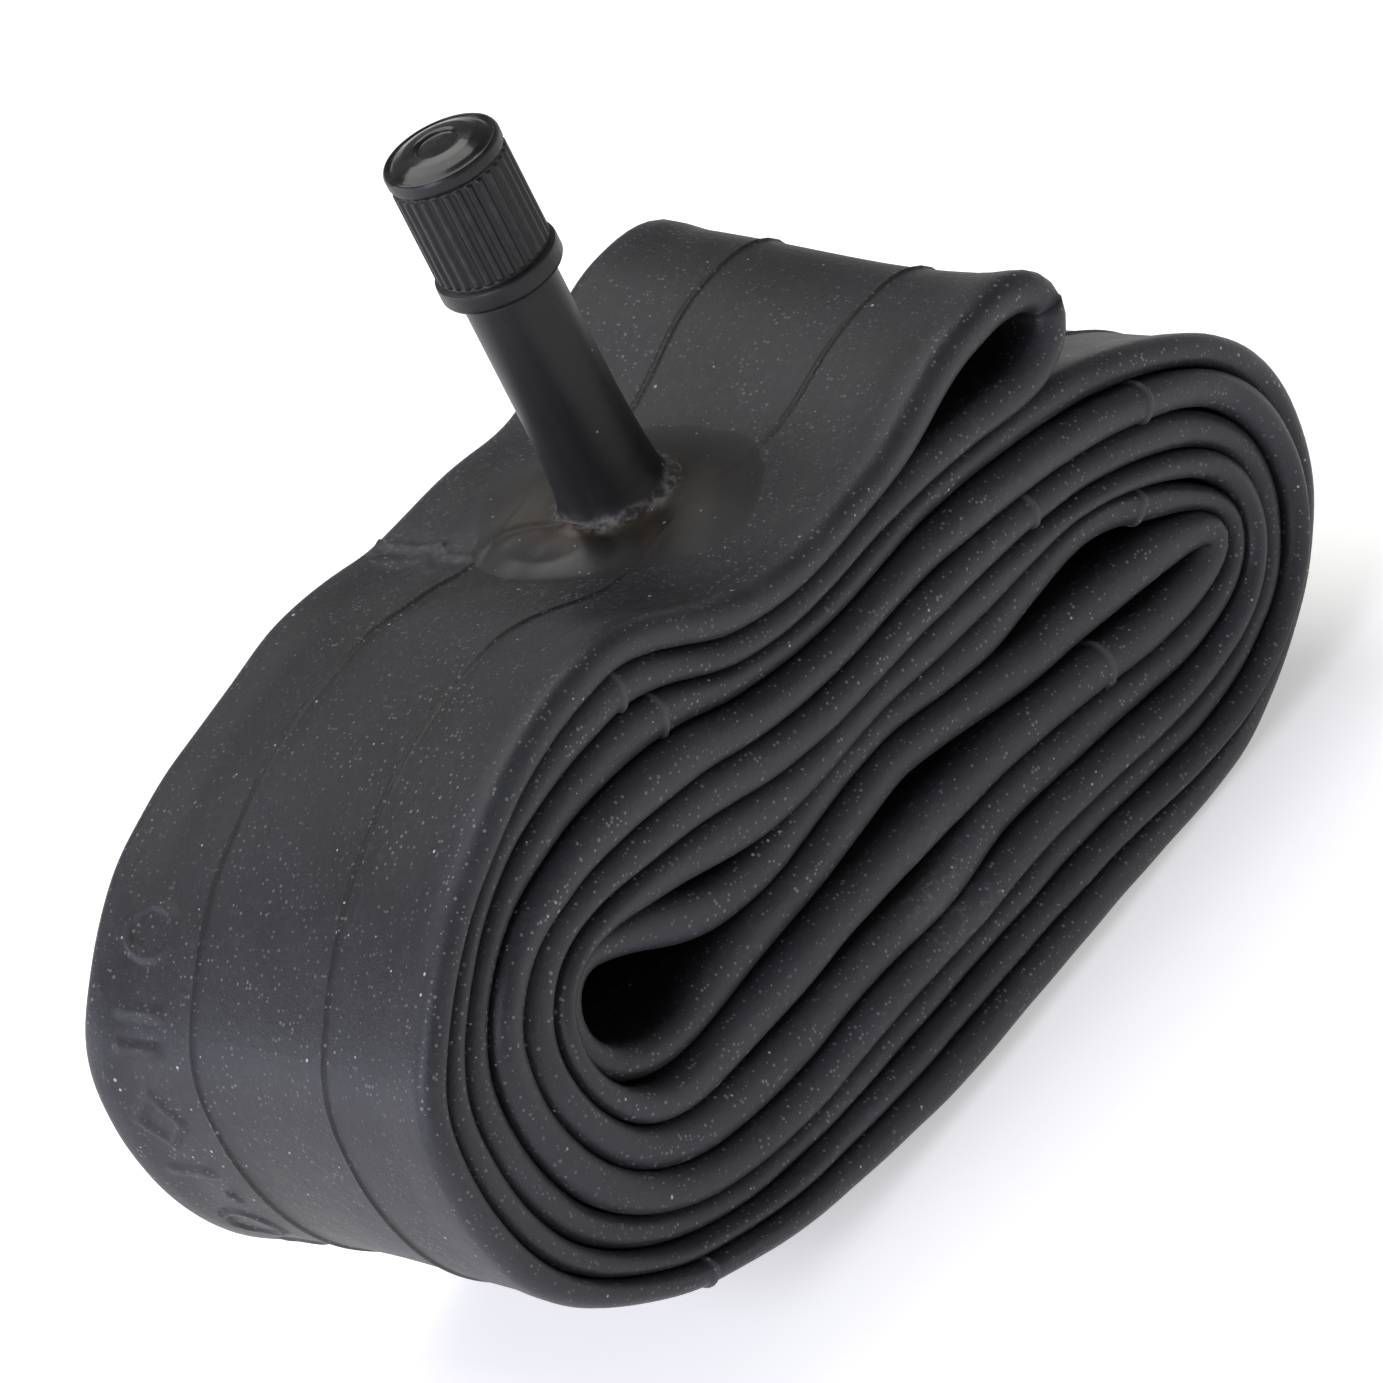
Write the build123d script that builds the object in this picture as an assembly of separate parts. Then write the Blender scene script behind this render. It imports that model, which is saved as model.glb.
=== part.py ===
from build123d import *

import math
import os

# Bicycle inner tube, flattened, folded and rolled into an oblong bundle, with its valve standing on top.
# Millimetres. X runs along the bundle, Y across the flattened tube, +Z up the valve.
# The origin is at the middle of the bundle's footprint, on the surface that it stands on.

# ---- The flattened tube --------------------------------------------------------------------------
FLAT_WIDTH = 43.0          # width of the tube when it is pressed flat
WALL = 0.9                 # butyl wall
AIR_GAP = 1.4              # air left between the two walls of the flattened tube
LAYER_GAP = 0.2            # space between neighbouring layers of the roll

# ---- The roll ------------------------------------------------------------------------------------
TURNS = 3                  # double turns wound round the eye
END_SPACING = 68.8         # from the centre of the left bends to the centre of the right bends
EYE_RADIUS = 5.6           # centreline radius of the open eye at the heart of the roll
TIP_RADIUS = 2.2           # centreline radius of the innermost right-hand bend
VALVE_FROM_LEFT = 33.2     # from the centre of the left bends to the valve
CONTACT_RUN = 31.0         # length over which the innermost strand lies against its neighbour
EYE_BEND_RADIUS = 14.0     # bends of the innermost strand where it leaves its neighbour
EYE_BEND_STRAIGHT = 2.0    # straight between those two bends
SADDLE_RADIUS = 60.0       # bend that brings the outer layer level before the valve
FOLD_OVERHANG = 29.0       # from the valve to the centre of the outer fold loop

# ---- Valve patch and rubber-covered stem ---------------------------------------------------------
PATCH_LENGTH = 27.0
PATCH_WIDTH = 30.0
PATCH_THICKNESS = 1.0
PATCH_MARGIN = 1.0         # level tube left beyond the patch
PATCH_EDGE_BEVEL = 0.5     # bevel round the patch's upper edge
PATCH_FIT = 0.05           # between the stem's foot and the hole in the patch
STEM_RADIUS = 4.25         # rubber stem, for a rim drilled 8.5
STEM_FLARE = 0.45          # wider by this where the stem stands in the patch
STEM_FLARE_HEIGHT = 6.0
JACKET_HEIGHT = 22.4       # top of the rubber above the patch
JACKET_BEVEL = 0.4
AIR_HOLE_RADIUS = 1.6      # air way through the tube's wall and up the stem
RUBBER_WALL = 1.05         # rubber over the brass
INSERT_FIT = 0.02          # between the brass insert and the rubber

# ---- Brass stem insert ---------------------------------------------------------------------------
STEM_TOP = 34.2            # mouth of the valve above the patch
INSERT_FOOT = 2.0          # bottom of the brass above the patch
GRIP_RING_DEPTH = 0.3      # rings on the brass that the rubber grips
GRIP_RING_COUNT = 5
GRIP_RING_HEIGHT = 1.0
THREAD_MAJOR = 3.875       # 8V1 thread, 7.75 across
THREAD_DEPTH = 0.485
THREAD_PITCH = 0.794       # 32 threads per inch
THREAD_RISE = 1.2          # lowest turn above the rubber
THREAD_CREST = 0.125       # flat crest of a thread, for each unit of its pitch
MOUTH_BEVEL = 0.4
FLANK_SLOPE = 0.577        # a 60 degree thread: half its width grows this much for each unit of depth
THREAD_CLEARANCE = 0.08    # between the flanks and crests of mating threads

# ---- Valve core ----------------------------------------------------------------------------------
CORE_MAJOR = 2.6           # 5V1 thread, 5.2 across
CORE_THREAD_DEPTH = 0.4
CORE_PITCH = 0.7056        # 36 threads per inch
CORE_DEPTH = 0.9           # plug's top below the mouth
PLUG_LENGTH = 4.6
KEY_FLAT_HEIGHT = 1.6
KEY_BLADE = 1.9            # width left between the key's two flats
SWIVEL_GAP = 0.05          # between the plug and the barrel's neck and flange that it turns on
FLANGE_RADIUS = 1.8
FLANGE_HEIGHT = 0.35
FLANGE_LIFT = 0.6          # flange's underside above the plug's lower end
BARREL_LENGTH = 7.2
NECK_RADIUS = 1.6          # outside of the barrel
CHAMBER_RADIUS = 1.3       # chamber for the spring
BARREL_LIP = 0.7           # floor of the barrel, that the spring stands on
BARREL_MOUTH = 0.85        # opening that the seal closes
GASKET_LENGTH = 1.8
GASKET_TOP_RADIUS = 2.1
GASKET_BOTTOM_RADIUS = 1.95
GASKET_DROP = 0.75         # gasket's top below the plug
SEAT_FIT = 0.02            # between pieces that seat on each other
PIN_RADIUS = 0.6
PIN_FIT = 0.08             # round the pin where the plug guides it
PIN_DEPTH = 0.4            # pin's top below the mouth
PIN_TIP_ROUND = 0.15
PIN_COLLAR_RADIUS = 1.18   # collar that the spring pushes up
PIN_COLLAR_HEIGHT = 0.5
PIN_COLLAR_DROP = 2.6      # collar's top below the pin's top
PIN_FOOT_RADIUS = 1.0
PIN_FOOT_HEIGHT = 0.5
PIN_TRAVEL = 1.2
SPRING_WIRE = 0.28
SPRING_RADIUS = 1.05       # mean radius of the coil
SPRING_TURNS = 7
SEAL_RADIUS = 1.5
SEAL_THICKNESS = 0.9
SEAL_PROUD = 0.3           # seal above the cup's rim
CUP_WALL = 0.2
CUP_FIT = 0.03             # between the seal and its cup
CUP_ROOM = 0.6             # left under the pin when it is pressed

# ---- Cap -----------------------------------------------------------------------------------------
CAP_GAP = 0.2              # between the rubber and the cap's mouth
CAP_ROOF_THICKNESS = 1.38  # at the top of the dome
COLLAR_RADIUS = 5.45
COLLAR_HEIGHT = 2.0
COLLAR_BEVEL = 0.35
SKIRT_RADIUS = 5.0
RIB_HEIGHT = 0.17
RIB_COUNT = 30
RIB_WIDTH = 0.55
RIB_BEVEL = 0.8            # bevel of a rib's edges, for each unit of its height
RIM_RADIUS = 5.15
RIM_HEIGHT = 1.0
DOME_HEIGHT = 1.3          # from the rim to the top of the dome
DISC_RADIUS = 2.0          # recess at the middle of the dome
DISC_DEPTH = 0.3
CAP_BORE_FIT = 0.25        # between the stem's thread and the plain bore at the cap's mouth
CAP_THREAD_BASE = 3.2      # lowest turn of the cap's thread, at least this far above its mouth
CAP_THREAD_TURNS = 7
SEAL_DISC_THICKNESS = 0.8
SEAL_DISC_GAP = 0.1        # between the seal disc and the valve's mouth
SEAL_DISC_FIT = 0.05       # between the seal disc and the cap's bore

# ---- Worked out from the sizes above -------------------------------------------------------------
LAYER = 2 * WALL + AIR_GAP
PITCH = LAYER + LAYER_GAP
LAYERS = 2 * TURNS
LEFT_RADIUS = EYE_RADIUS + LAYERS * PITCH
RIGHT_RADIUS = TIP_RADIUS + (LAYERS - 1) * PITCH
ROLL_LENGTH = LEFT_RADIUS + END_SPACING + RIGHT_RADIUS + LAYER
LEFT_X = -ROLL_LENGTH / 2 + LEFT_RADIUS + LAYER / 2
LEFT_Z = LEFT_RADIUS + LAYER / 2
RIGHT_X = LEFT_X + END_SPACING
RIGHT_Z = RIGHT_RADIUS + LAYER / 2
VALVE_X = LEFT_X + VALVE_FROM_LEFT

# Radii in the valve.
STEM_FOOT_RADIUS = STEM_RADIUS + STEM_FLARE
INSERT_RADIUS = STEM_RADIUS - RUBBER_WALL
GRIP_RING_RADIUS = INSERT_RADIUS + GRIP_RING_DEPTH
THREAD_MINOR = THREAD_MAJOR - THREAD_DEPTH
CORE_MINOR = CORE_MAJOR - CORE_THREAD_DEPTH

# Heights in the valve, above the patch.
GRIP_RING_SPACING = (JACKET_HEIGHT - INSERT_FOOT) / (GRIP_RING_COUNT + 1)
THREAD_START = JACKET_HEIGHT + THREAD_RISE
PLUG_TOP = STEM_TOP - CORE_DEPTH
PLUG_BOTTOM = PLUG_TOP - PLUG_LENGTH
FLANGE_BOTTOM = PLUG_BOTTOM + FLANGE_LIFT
FLANGE_TOP = FLANGE_BOTTOM + FLANGE_HEIGHT
BARREL_BOTTOM = FLANGE_TOP - BARREL_LENGTH
SPRING_FLOOR = BARREL_BOTTOM + BARREL_LIP
GASKET_TOP = PLUG_BOTTOM - GASKET_DROP
GASKET_BOTTOM = GASKET_TOP - GASKET_LENGTH
CORE_THREAD_START = PLUG_BOTTOM + CORE_PITCH / 2
CORE_THREAD_FLOOR = PLUG_BOTTOM - CORE_PITCH / 2
PIN_TOP = STEM_TOP - PIN_DEPTH
SEAL_TOP = BARREL_BOTTOM - SEAT_FIT
CUP_BOTTOM = SEAL_TOP - SEAL_THICKNESS - CUP_WALL
PIN_BOTTOM = CUP_BOTTOM - PIN_FOOT_HEIGHT
CUP_ROOM_FLOOR = PIN_BOTTOM - PIN_TRAVEL - CUP_ROOM
BORE_RADIUS = GASKET_BOTTOM_RADIUS + SEAT_FIT
CAP_MOUTH = JACKET_HEIGHT + CAP_GAP
CAP_ROOF = STEM_TOP + SEAL_DISC_GAP + SEAL_DISC_THICKNESS + SEAT_FIT
CAP_TOP = CAP_ROOF + CAP_ROOF_THICKNESS
DOME_BASE = CAP_TOP - DOME_HEIGHT
RIB_TOP = DOME_BASE - RIM_HEIGHT
# The cap's thread lies half a pitch from the stem's, so the two are in mesh when the cap is on.
CAP_THREAD_SKIP = math.ceil((CAP_MOUTH + CAP_THREAD_BASE - THREAD_START) / THREAD_PITCH)
CAP_THREAD_START = THREAD_START + (CAP_THREAD_SKIP + 0.5) * THREAD_PITCH
OVERLAP = 0.05             # how far a thread's ridge is sunk into its core before they are joined
STAND = (Align.CENTER, Align.CENTER, Align.MIN)


def tangent(a, b):
    """Start, end and direction of the line from circle a to circle b; each is (x, z, radius, turn)."""
    signed_a, signed_b = a[2] * a[3], b[2] * b[3]
    dx, dz = b[0] - a[0], b[1] - a[1]
    angle = math.atan2(dz, dx) + math.acos((signed_b - signed_a) / math.hypot(dx, dz))
    nx, nz = math.cos(angle), math.sin(angle)
    start = (a[0] - signed_a * nx, a[1] - signed_a * nz)
    end = (b[0] - signed_b * nx, b[1] - signed_b * nz)
    return start, end, (nz, -nx)


def bend(circle, start, end):
    """Arc on a circle from start to end, in the circle's own direction of turn, and its length."""
    x, z, radius, turn = circle
    first = math.atan2(start[1] - z, start[0] - x)
    last = math.atan2(end[1] - z, end[0] - x)
    angle = turn * ((turn * (last - first)) % (2 * math.pi))
    middle = first + angle / 2
    through = (x + radius * math.cos(middle), 0, z + radius * math.sin(middle))
    arc = Edge.make_three_point_arc((start[0], 0, start[1]), through, (end[0], 0, end[1]))
    return arc, abs(angle) * radius


def roll_circles():
    """The bends of the closed band in order along it, as (x, z, radius, turn), and the level layer's height."""
    left = [(LEFT_X, LEFT_Z, LEFT_RADIUS - k * PITCH) for k in range(LAYERS)]
    right = [(RIGHT_X, RIGHT_Z, RIGHT_RADIUS - k * PITCH) for k in range(LAYERS)]
    _, _, slope = tangent((*left[2], -1), (*right[0], -1))
    up = (-slope[1], slope[0])

    # One strand winds inwards, turning left all the way.
    circles = []
    for k in range(1, LAYERS, 2):
        circles += [(*left[k], 1), (*right[k], 1)]

    # It lies under its neighbour for a while, then drops away to go round the eye.
    leave_x = RIGHT_X + (TIP_RADIUS - EYE_BEND_RADIUS) * up[0] - CONTACT_RUN * slope[0]
    leave_z = RIGHT_Z + (TIP_RADIUS - EYE_BEND_RADIUS) * up[1] - CONTACT_RUN * slope[1]
    join_z = LEFT_Z - EYE_RADIUS + EYE_BEND_RADIUS
    apart = 4 * EYE_BEND_RADIUS**2 + EYE_BEND_STRAIGHT**2
    join_x = leave_x - math.sqrt(apart - (join_z - leave_z) ** 2)
    circles.append((leave_x, leave_z, EYE_BEND_RADIUS, 1))
    circles.append((join_x, join_z, EYE_BEND_RADIUS, -1))
    circles.append((LEFT_X, LEFT_Z, EYE_RADIUS, -1))

    # The other strand winds outwards, turning right.
    for k in range(LAYERS - 2, -1, -2):
        circles += [(*right[k], -1), (*left[k], -1)]

    # The outer layer slopes down beside the second one, then runs level under the valve.
    level_x = VALVE_X - PATCH_LENGTH / 2 - PATCH_MARGIN
    reach = LEFT_RADIUS + SADDLE_RADIUS - (level_x - LEFT_X) * up[0]
    level_z = LEFT_Z - SADDLE_RADIUS + reach / up[1]
    circles.append((level_x, level_z + SADDLE_RADIUS, SADDLE_RADIUS, 1))

    # The fold loop fills the wedge between the level layer and the second layer.
    fold_x = VALVE_X + FOLD_OVERHANG
    room = (fold_x - LEFT_X) * up[0] + (level_z - LEFT_Z) * up[1] - (LEFT_RADIUS - PITCH)
    fold_radius = room / (1 + up[1])
    circles.append((fold_x, level_z - fold_radius, fold_radius, -1))
    return circles, level_z


def rolled_tube():
    """The hollow butyl tube swept along the roll, and the height of its top under the valve."""
    circles, level_z = roll_circles()
    count = len(circles)
    lines = [tangent(circles[k], circles[(k + 1) % count]) for k in range(count)]
    edges = []
    length = 0.0
    for k in range(count):
        start, end, _ = lines[k]
        after = (k + 1) % count
        arc, arc_length = bend(circles[after], end, lines[after][0])
        edges += [Edge.make_line((start[0], 0, start[1]), (end[0], 0, end[1])), arc]
        length += arc_length + math.dist(start, end)
    path = Wire(edges)

    (x, z), _, (dx, dz) = lines[0]
    place = Plane(origin=(x, 0, z), x_dir=(0, 1, 0), z_dir=(dx, 0, dz))
    outer = place * SlotOverall(FLAT_WIDTH, LAYER)
    outside = sweep(outer, path=path)
    inside = sweep(place * SlotOverall(FLAT_WIDTH - 2 * WALL, AIR_GAP), path=path)
    print("band length", round(length, 1), "volume over section times length",
          round(outside.volume / (length * outer.area), 5))
    top = level_z + LAYER / 2
    hole = Pos(VALVE_X, 0, top) * Cylinder(AIR_HOLE_RADIUS, 2 * WALL + AIR_GAP)
    return outside - inside - hole, top


def revolved(points):
    """Solid of revolution about Z from an outline of (radius, height) points."""
    return revolve(Plane.XZ * make_face(Polyline(*points, close=True)), axis=Axis.Z)


def ridge(base_radius, crest_radius, base_half, crest_half, pitch, start, turns):
    """Helical thread ridge with a trapezoid section; it may point outwards or inwards."""
    outline = [(base_radius, -base_half), (crest_radius, -crest_half),
               (crest_radius, crest_half), (base_radius, base_half)]
    section = Pos(0, 0, start) * (Plane.XZ * make_face(Polyline(*outline, close=True)))
    path = Helix(pitch, pitch * turns, base_radius, center=(0, 0, start))
    return sweep(section, path=path, is_frenet=True)


def outer_thread(minor, major, pitch, start, turns):
    """Ridge of an outside thread, sunk a little into the core of radius minor."""
    crest_half = pitch * THREAD_CREST / 2
    base_half = crest_half + (major - minor + OVERLAP) * FLANK_SLOPE
    return ridge(minor - OVERLAP, major, base_half, crest_half, pitch, start, turns)


def inner_thread(minor, major, pitch, start, turns):
    """Ridge of the mating inside thread, in a bore of radius major plus the clearance."""
    base, crest = major + THREAD_CLEARANCE + OVERLAP, minor + THREAD_CLEARANCE
    space = (1 - THREAD_CREST) * pitch / 2 - THREAD_CLEARANCE / math.cos(math.atan(FLANK_SLOPE))
    crest_half = space - (major - crest) * FLANK_SLOPE
    base_half = space - (major - base) * FLANK_SLOPE
    return ridge(base, crest, min(base_half, pitch / 2 - OVERLAP), crest_half, pitch, start, turns)


def valve_patch():
    """Oval rubber pad that joins the stem to the tube."""
    pad = extrude(Pos(0, 0, -PATCH_THICKNESS) * Ellipse(PATCH_LENGTH / 2, PATCH_WIDTH / 2), PATCH_THICKNESS)
    pad = chamfer(pad.edges().group_by(Axis.Z)[-1], PATCH_EDGE_BEVEL)
    return pad - Cylinder(STEM_FOOT_RADIUS + PATCH_FIT, 3 * PATCH_THICKNESS)


def insert_body(grow=0.0):
    """Brass inside the rubber, with its grip rings; grow widens it to cut the rubber's socket."""
    body = revolved([(0, INSERT_FOOT), (INSERT_RADIUS + grow, INSERT_FOOT),
                     (INSERT_RADIUS + grow, JACKET_HEIGHT), (0, JACKET_HEIGHT)])
    for k in range(GRIP_RING_COUNT):
        low = INSERT_FOOT + GRIP_RING_SPACING * (k + 1) - GRIP_RING_HEIGHT / 2
        body += revolved([(0, low - grow), (GRIP_RING_RADIUS + grow, low - grow),
                          (GRIP_RING_RADIUS + grow, low + GRIP_RING_HEIGHT + grow),
                          (0, low + GRIP_RING_HEIGHT + grow)])
    return body


def stem_jacket():
    """Rubber stem, moulded over the brass."""
    rubber = revolved([(0, -PATCH_THICKNESS), (STEM_FOOT_RADIUS, -PATCH_THICKNESS), (STEM_FOOT_RADIUS, 0),
                       (STEM_RADIUS, STEM_FLARE_HEIGHT), (STEM_RADIUS, JACKET_HEIGHT - JACKET_BEVEL),
                       (STEM_RADIUS - JACKET_BEVEL, JACKET_HEIGHT), (0, JACKET_HEIGHT)])
    return rubber - insert_body(INSERT_FIT) - Cylinder(AIR_HOLE_RADIUS, 4 * INSERT_FOOT)


def stem_insert():
    """Brass tube of the valve: thread outside, core thread and tapered core seat inside."""
    core = revolved([(0, JACKET_HEIGHT), (THREAD_MINOR, JACKET_HEIGHT), (THREAD_MINOR, STEM_TOP - MOUTH_BEVEL),
                     (THREAD_MINOR - MOUTH_BEVEL, STEM_TOP), (0, STEM_TOP)])
    turns = math.floor((STEM_TOP - 2 * MOUTH_BEVEL - THREAD_START) / THREAD_PITCH)
    thread = outer_thread(THREAD_MINOR, THREAD_MAJOR, THREAD_PITCH, THREAD_START, turns)
    root = CORE_MAJOR + THREAD_CLEARANCE
    bore = revolved([(0, INSERT_FOOT - 1), (AIR_HOLE_RADIUS, INSERT_FOOT - 1), (AIR_HOLE_RADIUS, CUP_ROOM_FLOOR),
                     (BORE_RADIUS, CUP_ROOM_FLOOR + BORE_RADIUS - AIR_HOLE_RADIUS), (BORE_RADIUS, GASKET_BOTTOM),
                     (GASKET_TOP_RADIUS + SEAT_FIT, GASKET_TOP), (CORE_MINOR + THREAD_CLEARANCE, CORE_THREAD_FLOOR),
                     (root, CORE_THREAD_FLOOR), (root, STEM_TOP + 1), (0, STEM_TOP + 1)])
    start = CORE_THREAD_START - CORE_PITCH / 2
    core_turns = math.floor((STEM_TOP - MOUTH_BEVEL - start) / CORE_PITCH)
    return core + insert_body() + thread - bore + inner_thread(CORE_MINOR, CORE_MAJOR, CORE_PITCH, start, core_turns)


def core_plug():
    """Threaded plug of the valve core, with the two flats for the key and a swivel socket below."""
    blade = Pos(0, 0, PLUG_TOP - KEY_FLAT_HEIGHT / 2) * Box(3 * CORE_MINOR, KEY_BLADE, KEY_FLAT_HEIGHT)
    body = Pos(0, 0, PLUG_BOTTOM) * Cylinder(CORE_MINOR, PLUG_LENGTH, align=STAND)
    top = Pos(0, 0, PLUG_TOP - KEY_FLAT_HEIGHT) * Cylinder(CORE_MINOR, KEY_FLAT_HEIGHT, align=STAND)
    body = body - top + (top & blade)
    turns = math.floor((PLUG_TOP - KEY_FLAT_HEIGHT - CORE_THREAD_START) / CORE_PITCH)
    body += outer_thread(CORE_MINOR, CORE_MAJOR, CORE_PITCH, CORE_THREAD_START, turns)
    socket = revolved([(0, PLUG_BOTTOM - 1), (NECK_RADIUS + SWIVEL_GAP, PLUG_BOTTOM - 1),
                       (NECK_RADIUS + SWIVEL_GAP, FLANGE_BOTTOM - SWIVEL_GAP),
                       (FLANGE_RADIUS + SWIVEL_GAP, FLANGE_BOTTOM - SWIVEL_GAP),
                       (FLANGE_RADIUS + SWIVEL_GAP, FLANGE_TOP + SWIVEL_GAP),
                       (CHAMBER_RADIUS, FLANGE_TOP + SWIVEL_GAP), (CHAMBER_RADIUS, PLUG_TOP - KEY_FLAT_HEIGHT),
                       (PIN_RADIUS + PIN_FIT, PLUG_TOP - KEY_FLAT_HEIGHT), (PIN_RADIUS + PIN_FIT, PLUG_TOP + 1),
                       (0, PLUG_TOP + 1)])
    return body - socket


def core_barrel():
    """Barrel of the valve core; its flange swivels in the plug and its lower rim is the valve seat."""
    shell = revolved([(0, BARREL_BOTTOM), (NECK_RADIUS, BARREL_BOTTOM), (NECK_RADIUS, FLANGE_BOTTOM),
                      (FLANGE_RADIUS, FLANGE_BOTTOM), (FLANGE_RADIUS, FLANGE_TOP), (0, FLANGE_TOP)])
    chamber = revolved([(0, BARREL_BOTTOM - 1), (BARREL_MOUTH, BARREL_BOTTOM - 1), (BARREL_MOUTH, SPRING_FLOOR),
                        (CHAMBER_RADIUS, SPRING_FLOOR), (CHAMBER_RADIUS, FLANGE_TOP + 1), (0, FLANGE_TOP + 1)])
    return shell - chamber


def core_gasket():
    """Tapered ring on the barrel that seals against the cone in the brass."""
    inner = NECK_RADIUS + SEAT_FIT
    return revolved([(inner, GASKET_BOTTOM), (GASKET_BOTTOM_RADIUS, GASKET_BOTTOM),
                     (GASKET_TOP_RADIUS, GASKET_TOP), (inner, GASKET_TOP)])


def core_pin():
    """Pin that opens the valve, with the collar that the spring lifts and a riveted foot."""
    collar = PIN_TOP - PIN_COLLAR_DROP
    neck = PIN_RADIUS - PIN_TIP_ROUND
    return revolved([(0, PIN_BOTTOM), (PIN_FOOT_RADIUS, PIN_BOTTOM), (PIN_FOOT_RADIUS, CUP_BOTTOM),
                     (PIN_RADIUS, CUP_BOTTOM), (PIN_RADIUS, collar - PIN_COLLAR_HEIGHT),
                     (PIN_COLLAR_RADIUS, collar - PIN_COLLAR_HEIGHT), (PIN_COLLAR_RADIUS, collar),
                     (PIN_RADIUS, collar), (PIN_RADIUS, PIN_TOP - PIN_TIP_ROUND), (neck, PIN_TOP), (0, PIN_TOP)])


def core_spring():
    """Coil between the barrel's floor and the pin's collar."""
    low = SPRING_FLOOR + SEAT_FIT + SPRING_WIRE / 2
    high = PIN_TOP - PIN_COLLAR_DROP - PIN_COLLAR_HEIGHT - SEAT_FIT - SPRING_WIRE / 2
    path = Helix((high - low) / SPRING_TURNS, high - low, SPRING_RADIUS, center=(0, 0, low))
    wire = Plane(origin=path @ 0, z_dir=path % 0) * Circle(SPRING_WIRE / 2)
    return sweep(wire, path=path, is_frenet=True)


def seat_cup():
    """Metal cup on the pin that carries the seal."""
    inner, outer = SEAL_RADIUS + CUP_FIT, SEAL_RADIUS + CUP_FIT + CUP_WALL
    hole = PIN_RADIUS + SEAT_FIT
    return revolved([(hole, CUP_BOTTOM), (outer, CUP_BOTTOM), (outer, SEAL_TOP - SEAL_PROUD),
                     (inner, SEAL_TOP - SEAL_PROUD), (inner, CUP_BOTTOM + CUP_WALL), (hole, CUP_BOTTOM + CUP_WALL)])


def seat_seal():
    """Rubber ring in the cup that closes the barrel's mouth."""
    hole = PIN_RADIUS + SEAT_FIT
    return revolved([(hole, CUP_BOTTOM + CUP_WALL), (SEAL_RADIUS, CUP_BOTTOM + CUP_WALL),
                     (SEAL_RADIUS, SEAL_TOP), (hole, SEAL_TOP)])


def cap_shell():
    """Plastic dust cap: plain collar, ribbed skirt, rim and shallow dome, with its thread inside."""
    z = CAP_MOUTH
    side = Polyline((0, z), (COLLAR_RADIUS, z), (COLLAR_RADIUS, z + COLLAR_HEIGHT - COLLAR_BEVEL),
                    (SKIRT_RADIUS, z + COLLAR_HEIGHT), (SKIRT_RADIUS, RIB_TOP), (RIM_RADIUS, RIB_TOP),
                    (RIM_RADIUS, DOME_BASE))
    ball = (RIM_RADIUS**2 + DOME_HEIGHT**2) / (2 * DOME_HEIGHT)
    half = RIM_RADIUS / 2
    dome = ThreePointArc((RIM_RADIUS, DOME_BASE), (half, CAP_TOP - ball + math.sqrt(ball**2 - half**2)),
                         (0, CAP_TOP))
    outside = revolve(Plane.XZ * make_face(side + dome + Line((0, CAP_TOP), (0, z))), axis=Axis.Z)
    rib = Box(2 * RIB_HEIGHT, RIB_WIDTH, RIB_TOP - z - COLLAR_HEIGHT, align=STAND)
    rib = chamfer(rib.edges().filter_by(Axis.Z).group_by(Axis.X)[-1], RIB_HEIGHT * RIB_BEVEL)
    outside += [Pos(0, 0, z + COLLAR_HEIGHT) * place * rib for place in PolarLocations(SKIRT_RADIUS, RIB_COUNT)]
    outside -= Pos(0, 0, CAP_TOP - DISC_DEPTH) * Cylinder(DISC_RADIUS, 1, align=STAND)

    plain, root = THREAD_MAJOR + CAP_BORE_FIT, THREAD_MAJOR + THREAD_CLEARANCE
    thread_floor = CAP_THREAD_START - THREAD_PITCH
    bore = revolved([(0, z - 1), (plain, z - 1), (plain, thread_floor - CAP_BORE_FIT), (root, thread_floor),
                     (root, CAP_ROOF), (0, CAP_ROOF)])
    return outside - bore + inner_thread(THREAD_MINOR, THREAD_MAJOR, THREAD_PITCH, CAP_THREAD_START, CAP_THREAD_TURNS)


def cap_seal():
    """Rubber disc under the cap's roof."""
    radius = THREAD_MAJOR + THREAD_CLEARANCE - SEAL_DISC_FIT
    return Pos(0, 0, STEM_TOP + SEAL_DISC_GAP) * Cylinder(radius, SEAL_DISC_THICKNESS, align=STAND)


tube, tube_top = rolled_tube()
valve_place = Pos(VALVE_X, 0, tube_top + PATCH_THICKNESS)
parts = {"butyl_tube": tube}
for make in (valve_patch, stem_jacket, stem_insert, core_plug, core_barrel, core_gasket, core_pin, core_spring,
             seat_cup, seat_seal, cap_shell, cap_seal):
    parts[make.__name__] = valve_place * make()

os.makedirs("parts", exist_ok=True)
for name, solid in parts.items():
    export_step(solid, f"parts/{name}.step")
print("valve axis x", round(VALVE_X, 4), "patch top z", round(tube_top + PATCH_THICKNESS, 4),
      "cap travel to clear the stem", round(STEM_TOP - CAP_MOUTH, 3))
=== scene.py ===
"""Rolled bicycle inner tube with its rubber-covered valve and ribbed dust cap, dressed for the studio.

Lengths inside the classes are millimetres measured from the foot of the valve, on top of its patch:
X along the bundle, Y across the flattened tube, Z up the stem. Meshes are written in metres.
"""

import logging
import math
from dataclasses import dataclass, field
from enum import Enum
from typing import Any, Callable, Sequence

import bpy
import numpy as np
from mathutils import Matrix, Vector


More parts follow.
